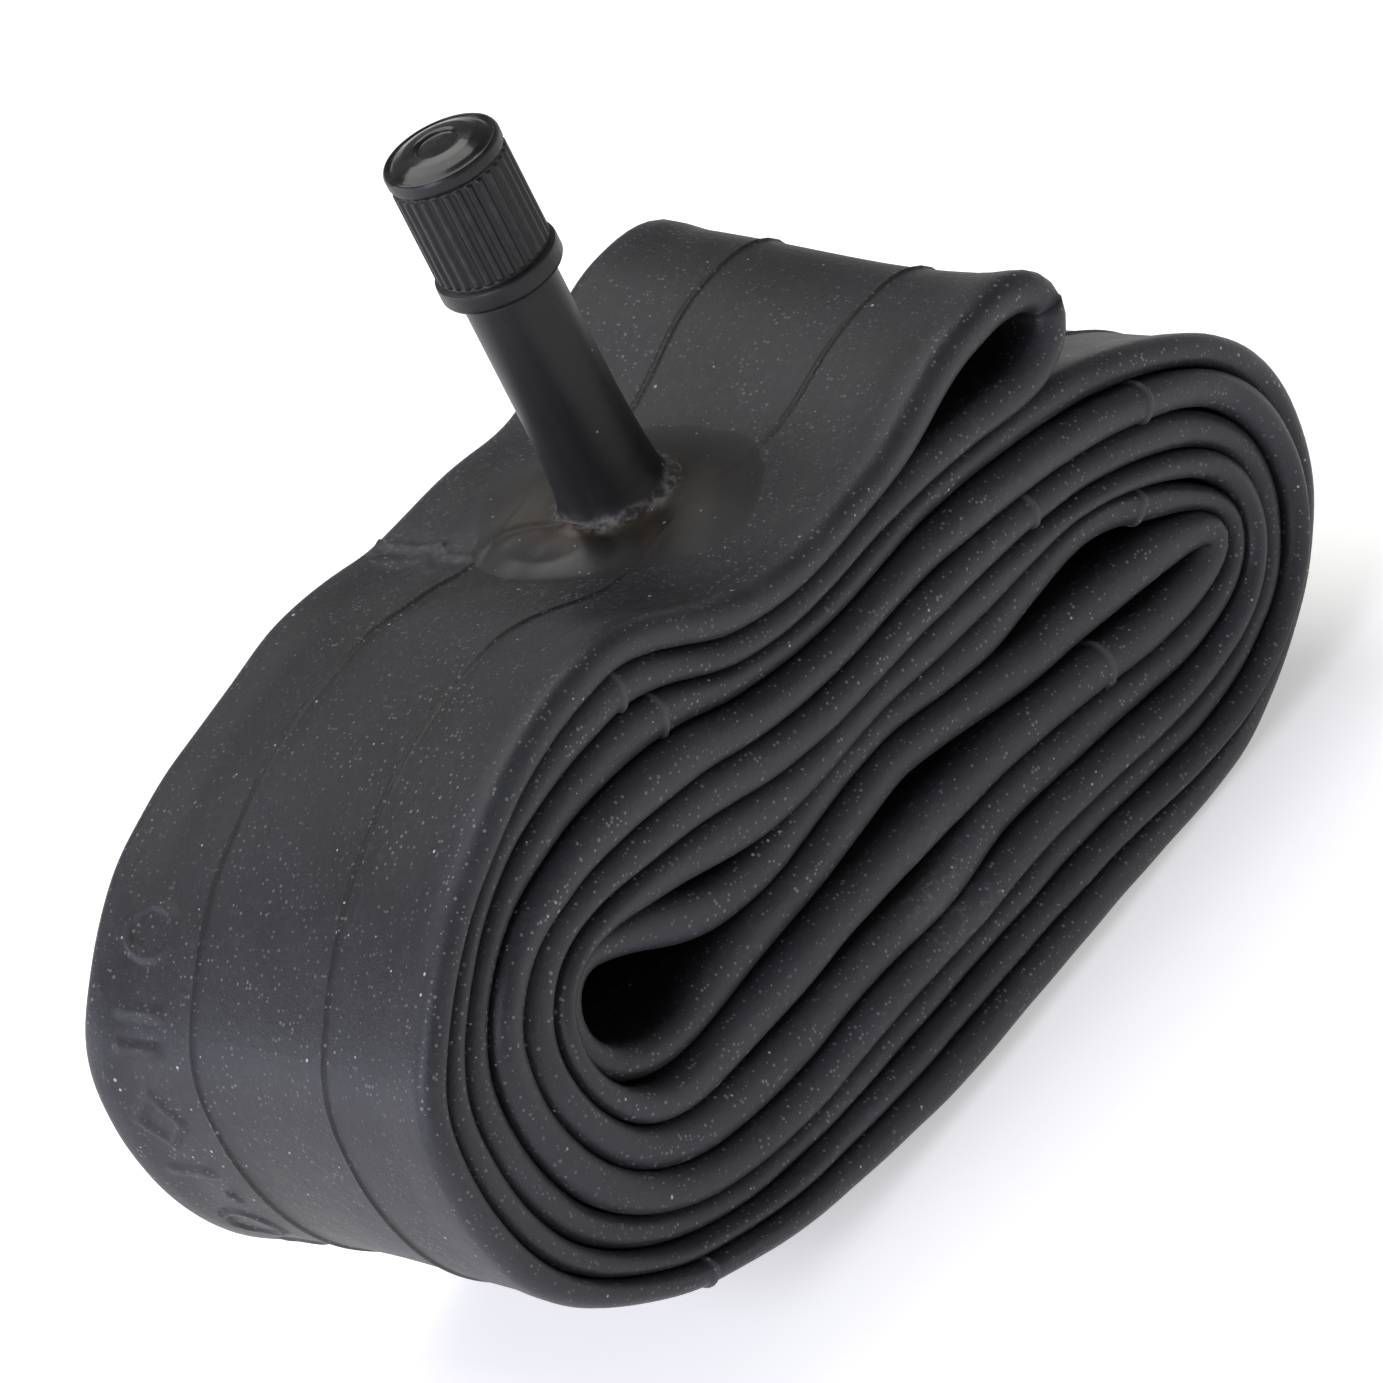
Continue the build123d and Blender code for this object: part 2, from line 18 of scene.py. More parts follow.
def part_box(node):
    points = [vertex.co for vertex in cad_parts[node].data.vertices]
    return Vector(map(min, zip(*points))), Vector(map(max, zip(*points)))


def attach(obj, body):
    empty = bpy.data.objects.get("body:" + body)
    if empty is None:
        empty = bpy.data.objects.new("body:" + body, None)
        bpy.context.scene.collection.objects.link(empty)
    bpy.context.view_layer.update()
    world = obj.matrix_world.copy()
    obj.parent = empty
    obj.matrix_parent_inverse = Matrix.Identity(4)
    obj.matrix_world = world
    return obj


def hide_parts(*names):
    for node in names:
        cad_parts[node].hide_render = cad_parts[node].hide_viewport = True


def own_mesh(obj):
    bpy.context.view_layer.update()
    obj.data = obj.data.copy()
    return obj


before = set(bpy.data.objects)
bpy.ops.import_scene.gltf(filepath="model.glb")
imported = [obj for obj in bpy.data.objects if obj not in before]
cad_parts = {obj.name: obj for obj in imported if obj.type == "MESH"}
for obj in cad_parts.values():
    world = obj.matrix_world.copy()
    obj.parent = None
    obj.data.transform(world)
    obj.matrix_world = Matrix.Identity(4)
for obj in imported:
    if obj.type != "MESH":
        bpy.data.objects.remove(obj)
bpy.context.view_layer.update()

MM = 0.001
LOG = logging.getLogger("inner_tube")

Array = np.ndarray
Colour = tuple[float, float, float, float]
Line = Sequence[tuple[float, float]]
STEEL = {"bright": (0.55, 0.55, 0.54, 1.0), "tarnish": (0.3, 0.29, 0.28, 1.0), "roughness": 0.25, "pitch": 0.07}
FULL_TURN = 2 * math.pi
NO_NEIGHBOUR = 99.0


def smooth(low: float, high: float, value: Any) -> Any:
    """Soft step from 0 at low to 1 at high.

    Args:
        low: where the step starts.
        high: where the step ends.
        value: a number or an array.

    Returns:
        Values between 0 and 1.
    """
    t = np.clip((value - low) / (high - low), 0.0, 1.0)
    return t * t * (3.0 - 2.0 * t)


def hump(distance: Any, reach: float) -> Any:
    """Bell of height 1 that has mostly died away at twice the reach."""
    return np.exp(-((distance / reach) ** 2))


def wander(at: Any, wavelength: float, phase: float) -> Any:
    """Slow uneven wave between about -1 and 1 made of three sines."""
    turn = FULL_TURN * at / wavelength
    return 0.5 * np.sin(turn + phase) + 0.3 * np.sin(1.7 * turn + 2.3 * phase) + 0.2 * np.sin(2.9 * turn + 4.1 * phase)


def softened(outline: Line, reach: float, steps: int = 4) -> list[tuple[float, float]]:
    """Rounds the corners of an open outline.

    Args:
        outline: corner points in order.
        reach: how far from each corner its rounding starts.
        steps: points along each rounding.

    Returns:
        The outline with each inner corner replaced by a short curve.
    """
    result = [tuple(outline[0])]
    for before, corner, after in zip(outline, outline[1:], outline[2:]):
        corner_v = np.array(corner, float)
        arm_a, arm_b = np.array(before, float) - corner_v, np.array(after, float) - corner_v
        cut_a = arm_a * min(reach / np.linalg.norm(arm_a), 0.45)
        cut_b = arm_b * min(reach / np.linalg.norm(arm_b), 0.45)
        for t in np.linspace(0, 1, steps + 1):
            result.append(tuple(corner_v + cut_a * (1 - t) ** 2 + cut_b * t**2))
    result.append(tuple(outline[-1]))
    return result


class Wire:
    """A node's output that takes part in Python expressions; each operator adds one Math node."""

    def __init__(self, finish: "Finish", socket: bpy.types.NodeSocket) -> None:
        """Keeps the finish that owns the nodes and the output that it stands for."""
        self.finish = finish
        self.socket = socket

    def _math(self, operation: str, first: Any, second: Any = 0.0) -> "Wire":
        """Adds a Math node with the two values or wires."""
        return self.finish.node("ShaderNodeMath", {"operation": operation}, {0: first, 1: second})

    def __add__(self, other: Any) -> "Wire":
        """Sum."""
        return self._math("ADD", self, other)

    __radd__ = __add__

    def __mul__(self, other: Any) -> "Wire":
        """Product."""
        return self._math("MULTIPLY", self, other)

    __rmul__ = __mul__

    def __sub__(self, other: Any) -> "Wire":
        """Difference."""
        return self._math("SUBTRACT", self, other)

    def __rsub__(self, other: Any) -> "Wire":
        """Difference with the number first."""
        return self._math("SUBTRACT", other, self)

    def __lt__(self, other: Any) -> "Wire":
        """1 where this is less than the other, else 0."""
        return self._math("LESS_THAN", self, other)

    def clip(self) -> "Wire":
        """The value held between 0 and 1."""
        return self.finish.node("ShaderNodeClamp", {}, {"Value": self})


@dataclass(frozen=True)
class Finish:
    """Base of every finish: a material with one Principled shader and helpers to wire it.

    Attributes:
        name: the material's name.
    """

    name: str = "finish"

    def material(self) -> bpy.types.Material:
        """Makes the material and lets the finish wire it.

        Returns:
            The finished material.
        """
        made = bpy.data.materials.new(self.name)
        made.use_nodes = True
        made.node_tree.nodes.clear()
        object.__setattr__(self, "tree", made.node_tree)
        shader = self.node("ShaderNodeBsdfPrincipled", {}, {}, "BSDF")
        self.node("ShaderNodeOutputMaterial", {}, {"Surface": shader}, None)
        self.wire_up(shader.socket.node)
        return made

    def wire_up(self, shader: bpy.types.Node) -> None:
        """Connects the nodes of this kind of finish to the shader."""
        raise NotImplementedError

    def node(self, kind: str, settings: dict[str, Any], inputs: dict[Any, Any], output: Any = 0) -> Any:
        """Adds any node.

        Args:
            kind: the node's type.
            settings: properties set first; "stops" fills a ramp with (place, value) pairs.
            inputs: values or wires for its sockets, by name or number.
            output: the output to hand back, or None.

        Returns:
            A wire from that output, or None.
        """
        made = self.tree.nodes.new(kind)
        for key, value in settings.items():
            if key == "stops":
                self._fill_ramp(made.color_ramp, value)
            else:
                setattr(made, key, value)
        self.feed(made, inputs)
        return None if output is None else Wire(self, made.outputs[output])

    def feed(self, node: bpy.types.Node, inputs: dict[Any, Any]) -> None:
        """Links each wire to its socket of the node, and sets the other sockets' own values.

        Args:
            node: the node that is fed.
            inputs: values or wires, by the socket's name or number.
        """
        for key, value in inputs.items():
            if isinstance(value, Wire):
                self.tree.links.new(value.socket, node.inputs[key])
            else:
                node.inputs[key].default_value = value

    @staticmethod
    def _fill_ramp(ramp: bpy.types.ColorRamp, stops: Sequence[tuple[float, float]]) -> None:
        """Sets a ramp's stops to grey levels."""
        while len(ramp.elements) < len(stops):
            ramp.elements.new(1.0)
        for element, (place, level) in zip(ramp.elements, stops):
            element.position = place
            element.color = (level, level, level, 1.0)

    def millimetres(self) -> Wire:
        """Object coordinates in millimetres."""
        spot = self.node("ShaderNodeTexCoord", {}, {}, "Object")
        return self.node("ShaderNodeVectorMath", {"operation": "SCALE"}, {0: spot, "Scale": 1000.0})

    def stretched(self, spot: Wire, scale: tuple[float, float, float]) -> Wire:
        """Coordinates multiplied by a different number on each axis."""
        return self.node("ShaderNodeVectorMath", {"operation": "MULTIPLY"}, {0: spot, 1: scale})

    def cloud(self, spot: Wire, size: float, detail: float = 3.0, roughness: float = 0.55) -> Wire:
        """Noise between 0 and 1 whose blotches are about size millimetres across."""
        return self.node("ShaderNodeTexNoise", {},
                         {"Vector": spot, "Scale": 1.0 / size, "Detail": detail, "Roughness": roughness})

    def ramp(self, value: Wire, *stops: tuple[float, float]) -> Wire:
        """The value passed through a ramp of grey levels."""
        return self.node("ShaderNodeValToRGB", {"stops": stops}, {"Fac": value})

    def mask(self, name: str) -> Wire:
        """A mask painted on the mesh."""
        return self.node("ShaderNodeAttribute", {"attribute_name": name}, {}, "Fac")

    def blend(self, factor: Any, first: Any, second: Any) -> Wire:
        """Mix of two colours."""
        return self.node("ShaderNodeMix", {"data_type": "RGBA"}, {0: factor, 6: first, 7: second}, 2)

    def relief(self, shader: bpy.types.Node, height: Wire, depth_mm: float, strength: float) -> None:
        """Sends a height pattern to the shader's normal."""
        pattern = {"Strength": strength, "Distance": depth_mm * MM, "Height": height}
        self.feed(shader, {"Normal": self.node("ShaderNodeBump", {}, pattern, "Normal")})

    def specks(self, spot: Wire, spacing: float, radius: float, share: float) -> Wire:
        """Scattered round specks.

        Args:
            spot: coordinates in millimetres.
            spacing: about how far apart the places for a speck are.
            radius: the largest speck's radius as a share of the spacing.
            share: how many of the places hold a speck.

        Returns:
            1 on a speck, 0 elsewhere.
        """
        cells = {"Vector": spot, "Scale": 1.0 / spacing}
        distance, tint = (self.node("ShaderNodeTexVoronoi", {"feature": "F1"}, cells, output)
                          for output in ("Distance", "Color"))
        chance, size = (self.node("ShaderNodeSeparateColor", {}, {0: tint}, channel) for channel in (0, 1))
        return (distance < (size * radius)) * (chance < share)


@dataclass(frozen=True)
class Butyl(Finish):
    """Black butyl with a soft sheen, dusted with talc.

    Attributes:
        dark: the darker tone of the rubber's clouds and of its mould lines.
        light: the lighter tone of its clouds, also the painted highlight along the edge beads.
        talc: colour of the dust.
    """

    name: str = "butyl"
    dark: Colour = (0.0055, 0.0058, 0.0066, 1.0)
    light: Colour = (0.0265, 0.0275, 0.032, 1.0)
    talc: Colour = (0.42, 0.43, 0.44, 1.0)

    def wire_up(self, shader: bpy.types.Node) -> None:
        """Cloudy base with a painted highlight along the edge beads, talc specks, dusty marks and a fine moulded
        grain.
        """
        spot = self.millimetres()
        broad = self.ramp(self.cloud(spot, 14.0), (0.3, 0.0), (0.75, 1.0))
        mottled = self.cloud(spot, 2.2, 4.0, 0.6)
        bead, line, tick, dust = (self.mask(name) for name in ("bead", "line", "tick", "dust"))
        dusky = self.cloud(spot, 0.55, 4.0, 0.7)
        shades = broad * 0.4 + mottled * 0.35 + dusky * 0.3 - 0.1
        # The bead term lightens the colour along the edge beads: a painted highlight.
        base = self.blend((shades + bead * 0.4 + tick * 1.2 - line * 1.1).clip(), self.dark, self.light)
        coarse = self.specks(spot, 1.5, 0.11, 0.5)
        fine = self.specks(spot, 0.4, 0.42, 0.4)
        patchy = self.ramp(self.cloud(spot, 9.0), (0.42, 0.0), (0.62, 1.0))
        film = self.ramp(self.cloud(spot, 0.9, 5.0, 0.7), (0.52, 0.0), (0.72, 1.0))
        dusting = fine * (patchy * 0.13 + bead * 0.06 + 0.07) + film * (patchy * 0.025 + 0.01)
        powder = (coarse * 0.7 + dusting + dust * film * 0.2 + dust * 0.07 + tick * 0.07).clip()
        self.feed(shader, {
            "Base Color": self.blend(powder, base, self.talc),
            "Roughness": (0.4 + mottled * 0.14 + broad * 0.08 + powder * 0.25 - bead * 0.06).clip(),
            "Specular IOR Level": 0.3,
        })
        grain = self.cloud(spot, 0.22, 3.0, 0.6)
        pits = self.cloud(spot, 0.9, 2.0, 0.5)
        self.relief(shader, grain * 0.7 + pits * 0.6 + coarse * 0.8, 0.08, 0.8)


@dataclass(frozen=True)
class PatchRubber(Finish):
    """Cured patch rubber, a little brown and smoother than the tube, whitened round the stem.

    Attributes:
        dark: darker patches.
        brown: the warm cast of the cured rubber.
        edge: the tube's own colour, which the hem fades into.
        bloom: the pale bloom beside the stem and along the patch's edge.
    """

    name: str = "patch_rubber"
    dark: Colour = (0.006, 0.0052, 0.0045, 1.0)
    brown: Colour = (0.0265, 0.0175, 0.0108, 1.0)
    edge: Colour = (0.0145, 0.0150, 0.0165, 1.0)
    bloom: Colour = (0.26, 0.24, 0.22, 1.0)

    def wire_up(self, shader: bpy.types.Node) -> None:
        """Brown clouds, pale irregular bloom, talc specks and a smooth lobe painted lighter as a soft highlight."""
        spot = self.millimetres()
        broad = self.ramp(self.cloud(spot, 6.0, 4.0, 0.6), (0.35, 0.0), (0.68, 1.0))
        ring, lobe, hem = self.mask("ring"), self.mask("lobe"), self.mask("hem")
        # The lobe term lightens the lobe towards the brown: a painted soft highlight.
        cured = self.blend((broad * 0.8 + lobe * 0.3).clip(), self.dark, self.brown)
        base = self.blend(hem, cured, self.edge)
        ragged = self.ramp(self.cloud(spot, 1.1, 5.0, 0.65), (0.44, 0.0), (0.6, 1.0))
        coarse = self.specks(spot, 1.1, 0.15, 0.5)
        # The small lobe term here is painted highlight too.
        pale = (ring * ragged * 0.4 + coarse * 0.6 + lobe * 0.02).clip()
        self.feed(shader, {
            "Base Color": self.blend(pale, base, self.bloom),
            "Roughness": (0.42 + broad * 0.12 + pale * 0.25 - lobe * 0.18).clip(),
            "Specular IOR Level": 0.32,
        })
        grain = self.cloud(spot, 0.35, 3.0, 0.6)
        self.relief(shader, grain * 0.5 + ragged * ring * 0.5, 0.04, 0.5)


@dataclass(frozen=True)
class SleeveRubber(Finish):
    """Satin black rubber of the stem, dusty at its foot.

    Attributes:
        dark: the clean rubber.
        worn: where it has been handled.
        talc: dust at the foot.
    """

    name: str = "sleeve_rubber"
    dark: Colour = (0.0065, 0.0065, 0.007, 1.0)
    worn: Colour = (0.017, 0.016, 0.0155, 1.0)
    talc: Colour = (0.3, 0.28, 0.26, 1.0)

    def wire_up(self, shader: bpy.types.Node) -> None:
        """Lengthwise streaks, specks and a pale foot."""
        spot = self.millimetres()
        streaks = self.cloud(self.stretched(spot, (1.0, 1.0, 0.12)), 0.8, 3.0, 0.6)
        broad = self.cloud(spot, 5.0)
        foot = self.mask("foot")
        ragged = self.ramp(self.cloud(spot, 0.8, 5.0, 0.65), (0.45, 0.0), (0.62, 1.0))
        coarse = self.specks(spot, 1.2, 0.13, 0.5)
        base = self.blend((streaks * 0.5 + broad * 0.4).clip(), self.dark, self.worn)
        pale = (foot * ragged * 0.3 + foot * 0.04 + coarse * 0.7).clip()
        self.feed(shader, {
            "Base Color": self.blend(pale, base, self.talc),
            "Roughness": (0.34 + streaks * 0.1 + pale * 0.3).clip(),
            "Specular IOR Level": 0.26,
        })
        self.relief(shader, streaks * 0.6 + self.cloud(spot, 0.3) * 0.4, 0.03, 0.45)


@dataclass(frozen=True)
class CapPlastic(Finish):
    """Moulded black plastic: satin on the ribs, polished on the dome.

    Attributes:
        black: the moulding's colour.
        scuff: worn edges of the ribs.
    """

    name: str = "cap_plastic"
    black: Colour = (0.0055, 0.0055, 0.006, 1.0)
    scuff: Colour = (0.035, 0.035, 0.037, 1.0)

    def wire_up(self, shader: bpy.types.Node) -> None:
        """Scuffed rib crests, specks of dust, orange-peel relief."""
        spot = self.millimetres()
        crest, dome = self.mask("crest"), self.mask("dome")
        wear = self.ramp(self.cloud(spot, 1.3, 4.0, 0.6), (0.4, 0.0), (0.7, 1.0))
        dusty = self.specks(spot, 1.0, 0.13, 0.4)
        worn = (crest * wear * 0.5 + wear * 0.12 + dusty * 0.8).clip()
        self.feed(shader, {
            "Base Color": self.blend(worn, self.black, self.scuff),
            "Roughness": (0.42 + wear * 0.1 - dome * 0.26 + crest * 0.05).clip(),
            "Coat Weight": (dome * 0.18).clip(),
            "Coat Roughness": 0.05,
            "Specular IOR Level": 0.36,
        })
        self.relief(shader, self.cloud(spot, 0.45, 2.0) * (1.0 - dome * 0.7), 0.03, 0.5)


@dataclass(frozen=True)
class Metal(Finish):
    """Machined or drawn metal with turning marks.

    Attributes:
        bright: clean colour.
        tarnish: colour in the hollows.
        roughness: how matt it is.
        pitch: spacing of the turning marks in millimetres.
    """

    name: str = "metal"
    bright: Colour = (0.72, 0.52, 0.22, 1.0)
    tarnish: Colour = (0.36, 0.23, 0.09, 1.0)
    roughness: float = 0.28
    pitch: float = 0.11

    def wire_up(self, shader: bpy.types.Node) -> None:
        """Tarnish clouds over fine rings left by the lathe."""
        spot = self.millimetres()
        cloudy = self.ramp(self.cloud(spot, 1.6, 4.0, 0.6), (0.35, 0.0), (0.7, 1.0))
        rings = self.cloud(self.stretched(spot, (0.05, 0.05, 1.0)), self.pitch, 2.0)
        self.feed(shader, {
            "Base Color": self.blend((cloudy * 0.6 + rings * 0.25).clip(), self.bright, self.tarnish),
            "Roughness": (rings * 0.12 + cloudy * 0.12 + self.roughness).clip(),
            "Metallic": 1.0,
        })
        self.relief(shader, rings, 0.008, 0.5)


@dataclass(frozen=True)
class SealRubber(Finish):
    """Matt black sealing rubber.

    Attributes:
        dark: the rubber's colour.
        worn: where it has been pressed.
    """

    name: str = "seal_rubber"
    dark: Colour = (0.008, 0.008, 0.008, 1.0)
    worn: Colour = (0.03, 0.03, 0.03, 1.0)

    def wire_up(self, shader: bpy.types.Node) -> None:
        """Fine mottling and a cut-rubber grain."""
        spot = self.millimetres()
        mottled = self.cloud(spot, 0.5, 4.0, 0.6)
        colour = self.blend(mottled, self.dark, self.worn)
        self.feed(shader, {"Base Color": colour, "Roughness": (0.6 + mottled * 0.2).clip()})
        self.relief(shader, self.cloud(spot, 0.15), 0.02, 0.5)


@dataclass(frozen=True)
class StudioFloor(Finish):
    """Pale matt floor.

    Attributes:
        pale: the floor's colour.
        shade: a barely darker tone.
    """

    name: str = "studio_floor"
    pale: Colour = (0.93, 0.93, 0.93, 1.0)
    shade: Colour = (0.9, 0.9, 0.9, 1.0)

    def wire_up(self, shader: bpy.types.Node) -> None:
        """Very faint clouds."""
        self.feed(shader, {
            "Base Color": self.blend(self.cloud(self.millimetres(), 300.0), self.pale, self.shade),
            "Roughness": 0.9,
            "Specular IOR Level": 0.1,
            "Emission Color": self.pale,
            "Emission Strength": 0.45,
        })


class MarkShape(Enum):
    """Plain shapes for the raised moulding marks on the tube."""

    BAR = "bar"
    RING = "ring"
    LOZENGE = "lozenge"
    DOT = "dot"


@dataclass(frozen=True)
class RaisedMark:
    """One plain raised shape on the tube.

    Attributes:
        shape: which shape.
        along: its place along the tube, from the valve.
        across: its place across the tube.
        length: size along the tube.
        width: size across the tube.
        height: how proud it stands.
    """

    shape: MarkShape
    along: float
    across: float
    length: float
    width: float
    height: float = 0.27

    def relief(self, along: Array, across: Array) -> Array:
        """Height of the mark at points of the surface.

        Args:
            along: distances along the tube from the valve.
            across: distances across the tube.

        Returns:
            Heights in millimetres.
        """
        u = np.abs(along - self.along) / (self.length / 2)
        v = np.abs(across - self.across) / (self.width / 2)
        size = min(self.length, self.width) / 2
        if self.shape is MarkShape.BAR:
            inside = (1 - np.maximum(u, v)) * size
        elif self.shape is MarkShape.LOZENGE:
            inside = 0.55 - np.abs((1 - (u + v)) * size * 0.7 - 0.55)
        elif self.shape is MarkShape.RING:
            inside = 0.5 - np.abs((1 - np.hypot(u, v)) * size - 0.5)
        else:
            inside = (1 - np.hypot(u, v)) * size
        return self.height * smooth(0.0, 0.32, inside)


class Grid:
    """Makes a mesh from a grid of points and paints masks on it."""

    @staticmethod
    def piece(name: str, points: Array, foot: Vector, masks: dict[str, Array],
              round_rows: bool, round_columns: bool, flip: bool = False) -> bpy.types.Object:
        """Builds a smooth object from a grid.

        Args:
            name: the piece's name.
            points: rows x columns x 3, in millimetres from the valve's foot.
            foot: the valve's foot in metres.
            masks: values for each point of the grid, by mask name.
            round_rows: whether the last row joins the first.
            round_columns: whether the last column joins the first.
            flip: whether the faces turn the other way.

        Returns:
            The object, linked to the scene.
        """
        rows, columns, _ = points.shape
        index = np.arange(rows * columns).reshape(rows, columns)
        up = np.roll(index, -1, 0) if round_rows else index[1:]
        low = index if round_rows else index[:-1]
        if round_columns:
            quads = np.stack([low, np.roll(low, -1, 1), np.roll(up, -1, 1), up], -1)
        else:
            quads = np.stack([low[:, :-1], low[:, 1:], up[:, 1:], up[:, :-1]], -1)
        faces = quads.reshape(-1, 4).tolist()
        if round_columns and not round_rows:
            faces += [index[0][::-1].tolist(), index[-1].tolist()]
        if flip:
            faces = [f[::-1] for f in faces]
        mesh = bpy.data.meshes.new(name)
        mesh.from_pydata((points.reshape(-1, 3) * MM + np.array(foot)).tolist(), [], faces)
        for mask, values in masks.items():
            layer = mesh.attributes.new(mask, "FLOAT", "POINT")
            layer.data.foreach_set("value", np.ascontiguousarray(values, np.float32).ravel())
        mesh.polygons.foreach_set("use_smooth", [True] * len(mesh.polygons))
        mesh.update()
        made = bpy.data.objects.new(name, mesh)
        bpy.context.scene.collection.objects.link(made)
        return made

    @staticmethod
    def turned(name: str, outline: Line, segments: int, foot: Vector, radius: Callable[..., Array],
               masks: Callable[..., dict[str, Array]]) -> bpy.types.Object:
        """Turns an outline about the valve's axis.

        Args:
            name: the piece's name.
            outline: (radius, height) points from one end to the other, with the material on their left.
            segments: points round the axis.
            foot: the valve's foot in metres.
            radius: gives the radius from (radius, height, angle) arrays.
            masks: gives the masks from the same arrays.

        Returns:
            The object.
        """
        line = np.array(outline, float)
        angle = np.linspace(0, FULL_TURN, segments, endpoint=False)[None, :]
        r, z = line[:, :1] + 0 * angle, line[:, 1:] + 0 * angle
        angle = angle + 0 * r
        shaped = radius(r, z, angle)
        points = np.stack([shaped * np.cos(angle), shaped * np.sin(angle), z], -1)
        return Grid.piece(name, points, foot, masks(r, z, angle), False, True)


